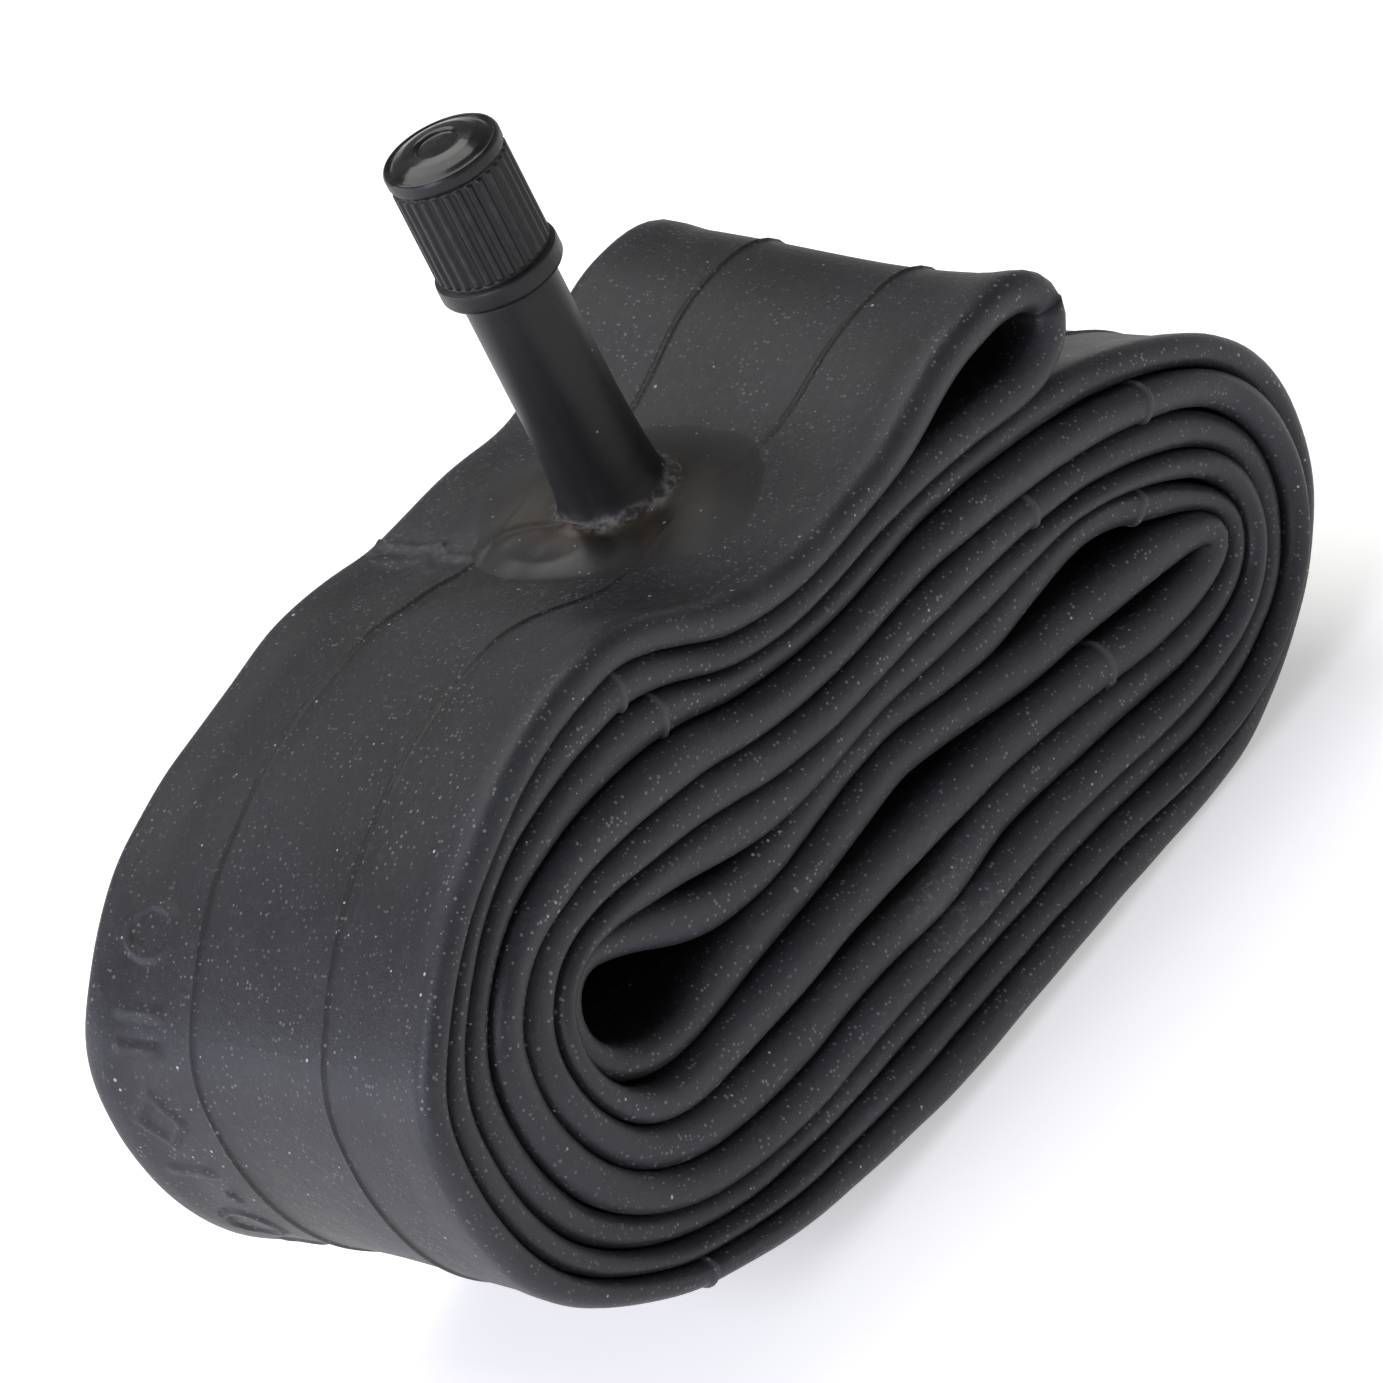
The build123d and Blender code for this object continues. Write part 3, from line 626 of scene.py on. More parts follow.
@dataclass
class RolledTube:
    """The flattened tube: one closed band folded in two and rolled round an open eye.

    Attributes:
        foot: the valve's foot in metres.
        width: width of the flattened tube.
        edge_radius: rounding of the folded edges.
        half: half the thickness on the outside of the roll.
        loose_half: half the thickness where there is room beside the next layer.
        least_half: half the thickness where it is pressed hardest.
        dip: how much thinner the middle is than the edge beads.
        seam_across: where the two mould lines run.
        crown: how far the valve's foot holds the tube's middle up.
        fold_rise: how much higher the far end of the outer fold stands than the near end.
        sag: how far the layers beyond the fold sag at the far end.
        spread: how far the near end of the left bend is spread.
        seam: height of the mould lines that run the length of the band.
        tick: height of the mould lines that cross the near edge.
        clearance: half the air between two pressed layers.
        snug: gap beyond which the neighbouring layer no longer counts as close.
        sharpest: largest share of a bend's radius that the band's half thickness takes.
        spline_points: points laid between two points of the route.
        valve_spot: the point (x, z) of the band under the valve.
        route: points that the middle of the band passes, (x, z).
        ticks: places (x, z) where a mould line crosses the near edge.
        recess: how far back each stretch lies, as (x, z, shift) along the band.
        marks: the raised shapes on the far half of the left bulge.
    """

    foot: Vector
    width: float = 43.0
    edge_radius: float = 1.6
    half: float = 1.62
    loose_half: float = 2.1
    least_half: float = 0.75
    dip: float = 0.48
    seam_across: float = 8.3
    crown: float = 2.3
    fold_rise: float = 3.4
    sag: float = 1.3
    spread: float = 2.2
    seam: float = 0.26
    tick: float = 0.3
    clearance: float = 0.03
    snug: float = 9.0
    sharpest: float = 0.85
    spline_points: int = 24
    valve_spot: tuple[float, float] = (0.0, -4.6)
    route: Line = (
        # outer fold, level run under the valve, left bulge, underside
        (35.2, -6.2), (34.4, -4.1), (31.6, -2.4), (25.5, -1.6), (20, -2.2), (15, -3.6), (10, -4.4), (3, -4.65),
        (-3, -4.5), (-9.9, -3), (-14.8, -0.75), (-19.6, 1.0), (-24.5, 2.0), (-30.9, 2.0), (-37.4, 0.8),
        (-43.2, -1.6), (-48.7, -4.7), (-53.3, -8.4), (-57.3, -12.6), (-58.9, -16.2), (-59.2, -20), (-59.0, -23.4),
        (-58.1, -28), (-56.3, -32.7), (-54.2, -36.0), (-51.5, -38.9), (-47, -42.7), (-43.9, -44.6), (-38.2, -46.8),
        (-33.3, -48.4), (-26, -49.9), (-20, -50.6), (-3, -51.2), (7.5, -51.4), (18, -51.8), (28, -52.3),
        # outermost right bend and the run above it
        (36, -51.6), (43.5, -49.2), (49.5, -45.0), (53.3, -39.8), (54.8, -34.5), (54.2, -29.0), (50.8, -23.9),
        (45, -19.6), (38, -16.0), (30, -13.3), (20, -11.4), (12, -10.4), (3, -10.3), (-5, -9.9), (-12, -8.2),
        (-20, -5.9), (-28, -4.8), (-35, -4.8),
        # third left bend
        (-42, -6.2), (-48, -9.8), (-52.3, -15), (-53.6, -21), (-52.6, -27), (-49.9, -33), (-45, -38.5),
        (-38, -42.4), (-30, -44.2), (-20, -44.9), (-10, -45.3), (0, -45.4), (10, -45.6), (20, -46.4), (30, -47.1),
        # third right bend
        (38, -46.4), (44.2, -43.7), (47.7, -39.5), (48.8, -35), (47.8, -31.2), (44.2, -27.3), (38, -23.7),
        (30, -20.8), (20, -18.7), (10, -17.4), (0, -16.9), (-8, -16.6), (-15, -15.2), (-22, -13.6), (-30, -12.3),
        (-38, -11.9),
        # fifth left bend
        (-43, -13.5), (-46, -17.5), (-46.6, -22), (-45.3, -27), (-42.2, -32), (-37, -35.2), (-30, -36.6),
        (-20, -37.1), (-10, -38.0), (-3, -38.9), (5, -37.9), (15, -38.8), (25, -40.3), (32, -41.3),
        # fifth right bend and the run to the eye
        (38, -40.9), (42, -39.0), (43.6, -36.3), (43.0, -34), (40, -31), (35, -27.4), (30, -25.0), (25, -24.5),
        (20, -24.9), (15, -25.3), (8, -24.8), (0, -23.6), (-8, -23.5), (-15, -23.9), (-20, -23.8), (-25, -22.6),
        (-30, -20.2), (-35, -17.4), (-39.3, -16.0), (-41.7, -17.8), (-42.8, -20.8), (-42.1, -24), (-39.2, -26.9),
        (-34, -28.4),
        # back out of the eye to the innermost tip
        (-28, -28.2), (-22, -27.6), (-15, -27.6), (-7, -27.1), (0, -26.9), (7, -28.2), (15, -30.0), (25, -31.2),
        (35, -32.6),
        (40.4, -34.1), (41.4, -35.6), (40.3, -37.1), (36.5, -37.8), (30, -37.4), (20, -35.5), (10, -33.9),
        (0, -33.2), (-5, -32.9), (-15, -32.2), (-25, -32.0), (-35, -31.6),
        # sixth left bend
        (-39.7, -30.1), (-42.6, -27.3), (-44.2, -23.5), (-44.5, -20), (-43.2, -16.6), (-40, -14.5), (-35, -14.1),
        (-30, -15.0), (-25, -16.4), (-20, -18.2), (-15, -19.5), (-8, -20.2), (0, -20.4), (10, -20.8), (20, -21.6),
        (25, -22.2), (30, -23.3), (35, -25.2),
        # fourth right bend
        (40, -27.7), (43.8, -30.5), (45.5, -34), (45.3, -37.8), (43, -41.3), (38, -43.8), (32, -44.4), (25, -43.8),
        (15, -42.6), (5, -42.2), (-3, -42.4), (-10, -42.0), (-20, -41.5), (-30, -41.0),
        # fourth left bend
        (-37, -39.4), (-43, -36.1), (-47.0, -31.7), (-49.3, -26.8), (-50.2, -20.5), (-49.3, -15), (-45, -10.6),
        (-38, -8.6), (-30, -8.5), (-22, -9.8), (-15, -11.4), (-5, -13.1), (0, -13.5), (5, -13.6), (12, -13.9),
        (22, -15.3), (30, -17.0), (38, -19.5),
        # second right bend
        (45, -22.7), (49.0, -26.2), (51.3, -31), (51.8, -36), (50.2, -41.5), (46.2, -46), (40, -49.0), (33, -50.3),
        (25, -50.1), (15, -49.0), (5, -48.5), (-5, -48.2), (-15, -47.9), (-25, -47.2), (-33, -46.1), (-40, -43.9),
        # second left bend and the run back to the outer fold
        (-45.2, -41.6), (-50.2, -37.3), (-53.8, -32.3), (-55.7, -27), (-56.4, -20.5), (-55.5, -15), (-52, -10.3),
        (-47, -6.4), (-42, -3.6), (-37, -2.1), (-31, -1.4), (-25, -1.5), (-20, -2.7), (-15, -4.7), (-10, -6.6),
        (-5, -7.6), (0, -7.9), (5, -7.8), (12, -8.0), (20, -9.0), (25, -9.8), (30.6, -10.1), (33.9, -8.6),
    )
    ticks: Line = ((-24.5, -2.5), (-22.0, -6.0), (22.5, -19.0), (39.0, -20.0), (34.5, -27.0), (23.0, -36.0),
                   (-44.0, -45.0))
    recess: Sequence[tuple[float, float, float]] = (
        (0.0, -4.6, 0.0), (-59.2, -20.0, 0.0), (-3.0, -51.2, 0.3), (54.8, -34.5, 2.0), (3.0, -10.3, 1.5),
        (-53.6, -21.0, 1.0), (0.0, -45.4, 1.5), (48.8, -35.0, 1.2), (0.0, -16.9, 0.3), (-46.6, -22.0, 0.6),
        (-3.0, -38.9, 1.4), (43.6, -36.3, 0.9), (0.0, -23.6, 3.0), (-42.8, -20.8, 2.2), (0.0, -26.9, 2.4),
        (41.3, -35.8, 0.4), (0.0, -33.2, 1.4), (-44.5, -20.0, 0.3), (0.0, -20.2, 1.6), (45.5, -34.0, 0.2),
        (-3.0, -42.4, 0.5), (-50.2, -20.5, 0.3), (0.0, -13.5, 0.4), (51.8, -36.0, 0.4), (-5.0, -48.2, 0.7),
        (-56.4, -20.5, 0.6), (0.0, -7.9, 1.1),
    )
    marks: Sequence[RaisedMark] = field(default_factory=lambda: [
        RaisedMark(MarkShape.RING, -54.0, 14.6, 5.4, 6.4),
        RaisedMark(MarkShape.BAR, -60.6, 14.6, 1.3, 6.4),
        RaisedMark(MarkShape.BAR, -63.6, 14.6, 1.3, 6.4),
        RaisedMark(MarkShape.LOZENGE, -69.6, 14.6, 6.2, 6.8),
        RaisedMark(MarkShape.BAR, -75.4, 14.6, 1.3, 6.4),
        RaisedMark(MarkShape.DOT, -78.6, 12.3, 1.7, 1.7),
        RaisedMark(MarkShape.RING, -83.6, 14.6, 5.4, 6.4),
        RaisedMark(MarkShape.BAR, -89.6, 14.6, 1.3, 6.4),
        RaisedMark(MarkShape.LOZENGE, -95.4, 14.6, 6.2, 6.8),
    ])

    def __post_init__(self) -> None:
        """Works out the band's line, its thickness and where things are along it."""
        self._lay_line()
        self._press_layers()

    def _lay_line(self) -> None:
        """Threads a smooth closed line through the route and measures it."""
        corners = np.array(self.route, float)
        before, after, second = np.roll(corners, 1, 0), np.roll(corners, -1, 0), np.roll(corners, -2, 0)

        def gap(a: Array, b: Array) -> Array:
            """Square root of the distance between points."""
            return np.sqrt(np.linalg.norm(a - b, axis=1))[:, None, None]

        t1 = gap(before, corners)
        t2 = t1 + gap(corners, after)
        t3 = t2 + gap(after, second)
        t = t1 + (t2 - t1) * np.linspace(0, 1, self.spline_points, endpoint=False)[None, :, None]
        p0, p1, p2, p3 = (p[:, None, :] for p in (before, corners, after, second))
        a1 = (t1 - t) / t1 * p0 + t / t1 * p1
        a2 = (t2 - t) / (t2 - t1) * p1 + (t - t1) / (t2 - t1) * p2
        a3 = (t3 - t) / (t3 - t2) * p2 + (t - t2) / (t3 - t2) * p3
        b1 = (t2 - t) / t2 * a1 + t / t2 * a2
        b2 = (t3 - t) / (t3 - t1) * a2 + (t - t1) / (t3 - t1) * a3
        dense = ((t2 - t) / (t2 - t1) * b1 + (t - t1) / (t2 - t1) * b2).reshape(-1, 2)
        closed = np.vstack([dense, dense[:1]])
        run = np.concatenate([[0.0], np.cumsum(np.linalg.norm(np.diff(closed, axis=0), axis=1))])
        self.length = float(run[-1])
        count = int(self.length)
        self.step = self.length / count
        self.at = np.arange(count) * self.step
        line = np.stack([np.interp(self.at, run, closed[:, k]) for k in (0, 1)], 1)
        self.line = self._eased(line, 1.3)
        heading = np.roll(self.line, -1, 0) - np.roll(self.line, 1, 0)
        heading /= np.linalg.norm(heading, axis=1)[:, None]
        self.outward = np.stack([heading[:, 1], -heading[:, 0]], 1)
        self.heading = heading
        turn = np.roll(heading, -1, 0) - np.roll(heading, 1, 0)
        self.curve = -(turn * self.outward).sum(1) / (2 * self.step)
        self.valve_at = self.nearest(*self.valve_spot)

    def _eased(self, values: Array, reach: float) -> Array:
        """Values smoothed along the closed band.

        Args:
            values: one row for each point of the band.
            reach: how far the smoothing reaches, in millimetres.

        Returns:
            The smoothed values.
        """
        steps = int(3 * reach / self.step) + 1
        weights = np.array([math.exp(-((k * self.step / reach) ** 2) / 2) for k in range(-steps, steps + 1)])
        weights /= weights.sum()
        return sum(w * np.roll(values, k, 0) for w, k in zip(weights, range(-steps, steps + 1)))

    def _press_layers(self) -> None:
        """Sets the half thickness on each side so that neighbouring layers meet without cutting in."""
        offset = self.line[None, :, :] - self.line[:, None, :]
        away = (offset * self.outward[:, None, :]).sum(-1)
        beside = np.abs((offset * self.heading[:, None, :]).sum(-1))
        count = len(self.line)
        apart = np.abs(np.arange(count)[:, None] - np.arange(count)[None, :])
        far_along = np.minimum(apart, count - apart) * self.step > 7.0
        near = far_along & (beside < 1.2)
        radius = 1.0 / np.maximum(np.abs(self._eased(self.curve, 1.0)), 1e-6)
        halves = []
        for side in (1, -1):
            gap = np.where(near & (side * away > 0), side * away, NO_NEIGHBOUR).min(1)
            room = np.where(gap < self.snug, self.loose_half, self.half)
            half = np.clip(gap / 2 - self.clearance, self.least_half, room)
            hollow = side * self.curve < 0
            half = np.where(hollow, np.minimum(half, self.sharpest * radius), half)
            halves.append(self._eased(half, 2.0))
        self.out_half, self.in_half = halves
        above_floor = self.line[:, 1] + self.foot.z / MM
        resting = (self.outward[:, 1] < -0.9) & (above_floor < 4.0)
        settled = np.where(resting, np.clip(above_floor - 0.02, self.out_half, 2.4), self.out_half)
        self.out_half = self._eased(settled, 3.5)

    def nearest(self, x: float, z: float) -> float:
        """Distance along the band of the point closest to (x, z)."""
        return float(self.at[np.argmin(np.hypot(self.line[:, 0] - x, self.line[:, 1] - z))])

    def along(self, places: Array, values: Array) -> Array:
        """Values read at places along the closed band.

        Args:
            places: distances along the band.
            values: one row for each point of the band.

        Returns:
            The values there.
        """
        rows = np.vstack([values, values[:1]]) if values.ndim > 1 else np.append(values, values[0])
        at = np.append(self.at, self.length)
        places = np.mod(places, self.length)
        if values.ndim == 1:
            return np.interp(places, at, rows)
        return np.stack([np.interp(places, at, rows[:, k]) for k in range(rows.shape[1])], 1)

    def shift_back(self, places: Array) -> Array:
        """How far back the band lies at places along it."""
        knots = sorted((self.nearest(x, z), shift) for x, z, shift in self.recess)
        at = np.array([k[0] for k in knots])
        shift = np.array([k[1] for k in knots])
        at = np.concatenate([at - self.length, at, at + self.length])
        back = np.interp(np.mod(places, self.length), at, np.tile(shift, 3))
        return back + 0.25 * wander(places, 97.0, 0.7) + 0.12 * wander(places, 23.0, 2.1)

    def outer_height(self, places: Array, across: Array) -> Array:
        """Height of the outer face above the middle of the band.

        Args:
            places: distances along the band.
            across: distances across it.

        Returns:
            Heights in millimetres, with beads, mould lines, marks, splice and creases.
        """
        half = self.along(places, self.out_half)
        inset = self.width / 2 - np.abs(across)
        from_valve = self.from_valve(places)
        height = half - self.thinning(inset)
        height = height + self.crown * hump(from_valve, 11.0) * smooth(0.0, 13.0, inset) ** 1.3
        height = height + self.seam_height(places, across)
        height = height + self.splice_height(from_valve, across)
        for mark in self.marks:
            height = height + mark.relief(from_valve, across)
        creases = 0.16 * hump(from_valve + 15.0, 5.0) * wander(across + 0.6 * from_valve, 11.0, 1.3)
        return height + creases * smooth(2.0, 7.0, inset)

    def from_valve(self, places: Array) -> Array:
        """Distance along the band from the valve, negative towards the left bulge."""
        return np.mod(self.valve_at - places + self.length / 2, self.length) - self.length / 2

    def thinning(self, inset: Array) -> Array:
        """How much thinner the band is at a distance in from its edge."""
        return self.dip * smooth(1.5, 6.5, inset)

    def settled(self, points: Array, from_valve: Array) -> Array:
        """Makes the two ends of the roll differ, as a hand-rolled bundle's do.

        Args:
            points: points of the roll as wound.
            from_valve: their distances along the band from the valve.

        Returns:
            The points with the far end lifted or sagging and the near end spread round the left bend.
        """
        x, y, z = points[..., 0], points[..., 1], points[..., 2]
        fold = smooth(6.0, 27.0, from_valve) * smooth(67.0, 46.0, from_valve)
        lift = self.fold_rise * fold * smooth(-12.0, 22.0, y)
        loose = smooth(67.0, 75.0, np.abs(from_valve)) * smooth(-5.0, 21.0, y)
        lift = lift - self.sag * hump(np.hypot(x - 32.0, z + 13.5), 13.0) * loose
        level = 3.0 * hump(x + 1.0, 11.0) - 2.6 * hump(x + 32.0, 12.0)
        lift = lift + level * smooth(3.0, 21.0, y) * smooth(-42.0, -6.0, z)
        arm = np.maximum(np.hypot(x + 30.0, z + 22.0), 1.0)
        bend = smooth(-12.0, -26.0, x) * smooth(-50.0, -30.0, z) * smooth(8.0, -21.0, y)
        spread = self.spread * smooth(6.0, 26.0, arm) * bend / arm
        return np.stack([x + spread * (x + 30.0), y, z + lift + spread * (z + 22.0)], -1)

    def seam_height(self, places: Array, across: Array) -> Array:
        """Height of the two mould lines that run the length of the band."""
        drift = 0.5 * wander(places, 120.0, 1.1)
        line = hump(np.abs(across + drift) - self.seam_across, 0.22)
        clear = 1.0 - hump(self.from_valve(places), 6.0)
        return self.seam * line * clear

    def splice_height(self, from_valve: Array, across: Array) -> Array:
        """Height of the uneven lap joint on the far half, left of the valve."""
        lap = from_valve + 9.5 + 1.2 * wander(across, 9.0, 0.4)
        lumps = 0.7 + 0.5 * wander(across + from_valve, 5.0, 2.2)
        return (0.4 * hump(lap, 0.6) + 0.3 * hump(lap + 2.6, 0.8)) * lumps * smooth(7.0, 11.0, across)

    def edge_height(self, places: Array) -> Array:
        """Height of the mould lines that cross the near edge."""
        height = np.zeros_like(places)
        for x, z in self.ticks:
            height = height + self.tick * hump(places - self.nearest(x, z), 0.24)
        return height

    def stations(self) -> Array:
        """Places along the band where a ring of points is set, closer at the fine details."""
        detailed = ((50.0, 100.0), (4.0, 16.0))
        fine = [np.arange(self.valve_at + start, self.valve_at + end, 0.33) for start, end in detailed]
        fine += [self.nearest(x, z) + np.linspace(-0.7, 0.7, 11) for x, z in self.ticks]
        coarse = np.arange(0.0, self.length, 1.15)
        together = np.sort(np.mod(np.concatenate([coarse, *fine]), self.length))
        return together[np.concatenate([[True], np.diff(together) > 0.1])]

    def section(self) -> tuple[Array, Array, Array]:
        """Points round the band's cross-section.

        Returns:
            Distance across, share of the half thickness (1 outer face, -1 inner face) and how much of the edge.
        """
        flat = self.width / 2 - self.edge_radius
        seams = [s * self.seam_across + d for s in (-1, 1) for d in np.linspace(-1.3, 1.3, 13)]
        emboss = list(np.arange(10.6, 18.8, 0.36))
        plain = list(np.linspace(-flat, flat, 25))
        outer = np.array(sorted(set(np.round(plain + seams + emboss, 3))))
        outer = outer[np.concatenate([[True], np.diff(outer) > 0.12])]
        inner = np.array(sorted(plain))
        bend = np.linspace(-math.pi / 2, math.pi / 2, 11)[1:-1]
        across = [outer, flat + self.edge_radius * np.cos(bend), inner[::-1],
                  -flat - self.edge_radius * np.cos(bend)]
        share = [np.ones_like(outer), -np.sin(bend), -np.ones_like(inner), np.sin(bend)]
        return np.concatenate(across), np.concatenate(share), np.concatenate(
            [0 * outer, np.cos(bend), 0 * inner, np.cos(bend)])

    def build(self) -> bpy.types.Object:
        """Sweeps the cross-section round the roll and paints its masks.

        Returns:
            The tube's object, riding on the root body.
        """
        places = self.stations()
        across, share, rim = self.section()
        s = places[:, None] + 0 * across[None, :]
        y = across[None, :] + 0 * s
        middle = self.along(places, self.line)
        outward = self.along(places, self.outward)
        outward /= np.linalg.norm(outward, axis=1)[:, None]
        in_half = self.along(places, self.in_half)[:, None]
        inset = self.width / 2 - np.abs(y)
        outer = self.outer_height(s, y)
        inner = in_half - self.thinning(inset) + self.seam_height(s, y)
        outer_edge = self.along(places, self.out_half)[:, None]
        on_rim = rim[None, :] > 0
        height = np.where(share > 0, np.where(on_rim, outer_edge, outer), np.where(on_rim, in_half, inner)) * share
        tick = self.edge_height(s) * smooth(-15.5, -18.5, y)
        near = np.where(on_rim, y - tick * rim[None, :], y) + self.shift_back(places)[:, None]
        height = height + tick * share
        points = np.stack([middle[:, :1] + outward[:, :1] * height, near, middle[:, 1:] + outward[:, 1:] * height], -1)
        from_valve = self.from_valve(s)
        points = self.settled(points, from_valve)
        masks = {
            # Mask of the edge beads; the butyl paints a highlight along it.
            "bead": smooth(3.0, 0.6, inset),
            "line": np.clip(self.seam_height(s, y) / self.seam, 0, 1),
            "tick": np.clip(tick / self.tick, 0, 1),
            "dust": self.dust(points, from_valve, y),
        }
        tube = Grid.piece("rolled_tube", points, self.foot, masks, True, True, True)
        tube.data.materials.append(Butyl().material())
        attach(tube, "root")
        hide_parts("butyl_tube")
        return tube

    def dust(self, points: Array, from_valve: Array, across: Array) -> Array:
        """Mask of the talc left in patches.

        Args:
            points: the grid of points.
            from_valve: distance along the band from the valve.
            across: distance across it.

        Returns:
            Values between 0 and 1.
        """
        patches = ((-4.0, -38.5, 4.5, 1.0), (-24.0, -47.0, 6.0, 0.25), (20.0, -12.0, 8.0, 0.15))
        near = smooth(-17.5, -20.0, across)
        dusty = sum(weight * hump(np.hypot(points[..., 0] - x, points[..., 2] - z), reach)
                    for x, z, reach, weight in patches) * near
        dusty = dusty + 0.5 * hump(from_valve + 9.5, 2.5) * smooth(6.0, 10.0, across)
        return np.clip(dusty + 0.35 * hump(from_valve, 16.0) * hump(across, 14.0), 0, 1)


@dataclass
class ValvePatch:
    """Oval pad of cured rubber draped over the tube's crown, with a smooth lobe on one side.

    Attributes:
        tube: the tube that it lies on.
        along: its length along the tube.
        across: its width across the tube.
        thickness: its thickness at the stem.
        rows: rings of points from the middle to the hem.
        spokes: points round each ring.
    """

    tube: RolledTube
    along: float = 27.0
    across: float = 30.0
    thickness: float = 0.75
    rows: int = 54
    spokes: int = 160

    def build(self) -> bpy.types.Object:
        """Drapes the pad on the tube.

        Returns:
            The patch's object, riding on the root body.
        """
        tube = self.tube
        reach = np.linspace(0.02, 1.0, self.rows)[:, None]
        angle = np.linspace(0, FULL_TURN, self.spokes, endpoint=False)[None, :]
        ragged = 1.0 + 0.02 * wander(angle * 10, 14.0, 0.5) * reach
        u = reach * ragged * self.along / 2 * np.cos(angle)
        v = reach * ragged * self.across / 2 * np.sin(angle)
        places = np.mod(tube.valve_at - u, tube.length)
        lobe = smooth(1.0, 0.5, np.hypot((u + 8.4) / 4.4, (v - 2.3) / 8.2))
        from_stem = np.hypot(u, v)
        thick = self.thickness * smooth(1.0, 0.35, reach + 0 * u) + 0.02
        thick = thick + 0.7 * lobe + 0.45 * smooth(7.0, 4.6, from_stem)
        thick = thick + 0.05 * wander(u * 0.6 - v, 11.0, 0.8) * smooth(1.0, 0.8, reach)
        thick = thick - 0.07 * smooth(0.6, 1.0, reach)
        top = self.surface(places, v, thick)
        under = self.surface(places, v, np.full_like(thick, -0.4))[::-1]
        points = np.concatenate([top, under])
        masks = {
            "ring": self._both(hump(from_stem - 5.5 - 0.4 * wander(angle * 10, 17.0, 2.0), 0.5)),
            # The lobe mask is painted lighter in the finish, as a soft highlight.
            "lobe": self._both(lobe),
            "hem": self._both(smooth(0.5, 0.92, reach + 0.12 * wander(angle * 10, 31.0, 1.2))),
        }
        patch = Grid.piece("valve_pad", points, tube.foot, masks, False, True)
        patch.data.materials.append(PatchRubber().material())
        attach(patch, "root")
        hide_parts("valve_patch")
        return patch

    @staticmethod
    def _both(mask: Array) -> Array:
        """A mask for the top and, reversed, for the underside."""
        return np.concatenate([mask, mask[::-1]])

    def surface(self, places: Array, across: Array, lift: Array) -> Array:
        """Points above the tube's outer face.

        Args:
            places: distances along the band.
            across: distances across it.
            lift: height above the face.

        Returns:
            The points.
        """
        tube = self.tube
        flat = places.ravel()
        middle, outward = tube.along(flat, tube.line), tube.along(flat, tube.outward)
        height = tube.outer_height(flat, across.ravel()) + lift.ravel()
        y = across.ravel() + tube.shift_back(flat)
        draped = np.stack([middle[:, 0] + outward[:, 0] * height, y, middle[:, 1] + outward[:, 1] * height], -1)
        return tube.settled(draped, tube.from_valve(flat)).reshape(*places.shape, 3)


@dataclass
class StemSleeve:
    """Rubber sleeve of the stem, flared into the patch.

    Attributes:
        foot: the valve's foot in metres.
        height: top of the rubber above the foot.
        radius: its radius.
        bore: radius of the brass that it covers.
    """

    foot: Vector
    height: float = 22.4
    radius: float = 4.25
    bore: float = 3.22

    def build(self) -> bpy.types.Object:
        """Turns the sleeve with a soft flare and a slightly uneven foot.

        Returns:
            The sleeve's object, riding on the root body.
        """
        low = [(self.bore, -1.2), (6.3, -1.2), (5.7, -0.25), (4.95, 0.2), (4.68, 1.3), (4.5, 3.2), (4.34, 6.0)]
        side = [(self.radius, z) for z in np.linspace(9.0, self.height - 1.0, 8)]
        top = [(self.radius, self.height), (self.bore, self.height), (self.bore, self.height - 3.0)]
        outline = softened([*low, *side, *top], 0.45)

        def radius(r: Array, z: Array, angle: Array) -> Array:
            """The sleeve's radius, uneven at the foot and with a faint mould line on two sides."""
            uneven = 0.16 * wander(angle * 10, 21.0, 0.9) * smooth(2.5, 0.0, z) * (r > 4.3)
            parting = 0.05 * (hump(np.sin(angle - 0.5), 0.02)) * (r > 4.2) * smooth(1.0, 3.0, z)
            return r + uneven + parting

        def masks(r: Array, z: Array, angle: Array) -> dict[str, Array]:
            """Dust at the foot."""
            return {"foot": smooth(0.9 + 0.4 * wander(angle * 10, 13.0, 1.7), 0.1, z)}

        sleeve = Grid.turned("stem_sleeve", outline, 144, self.foot, radius, masks)
        sleeve.data.materials.append(SleeveRubber().material())
        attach(sleeve, "root")
        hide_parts("stem_jacket")
        return sleeve


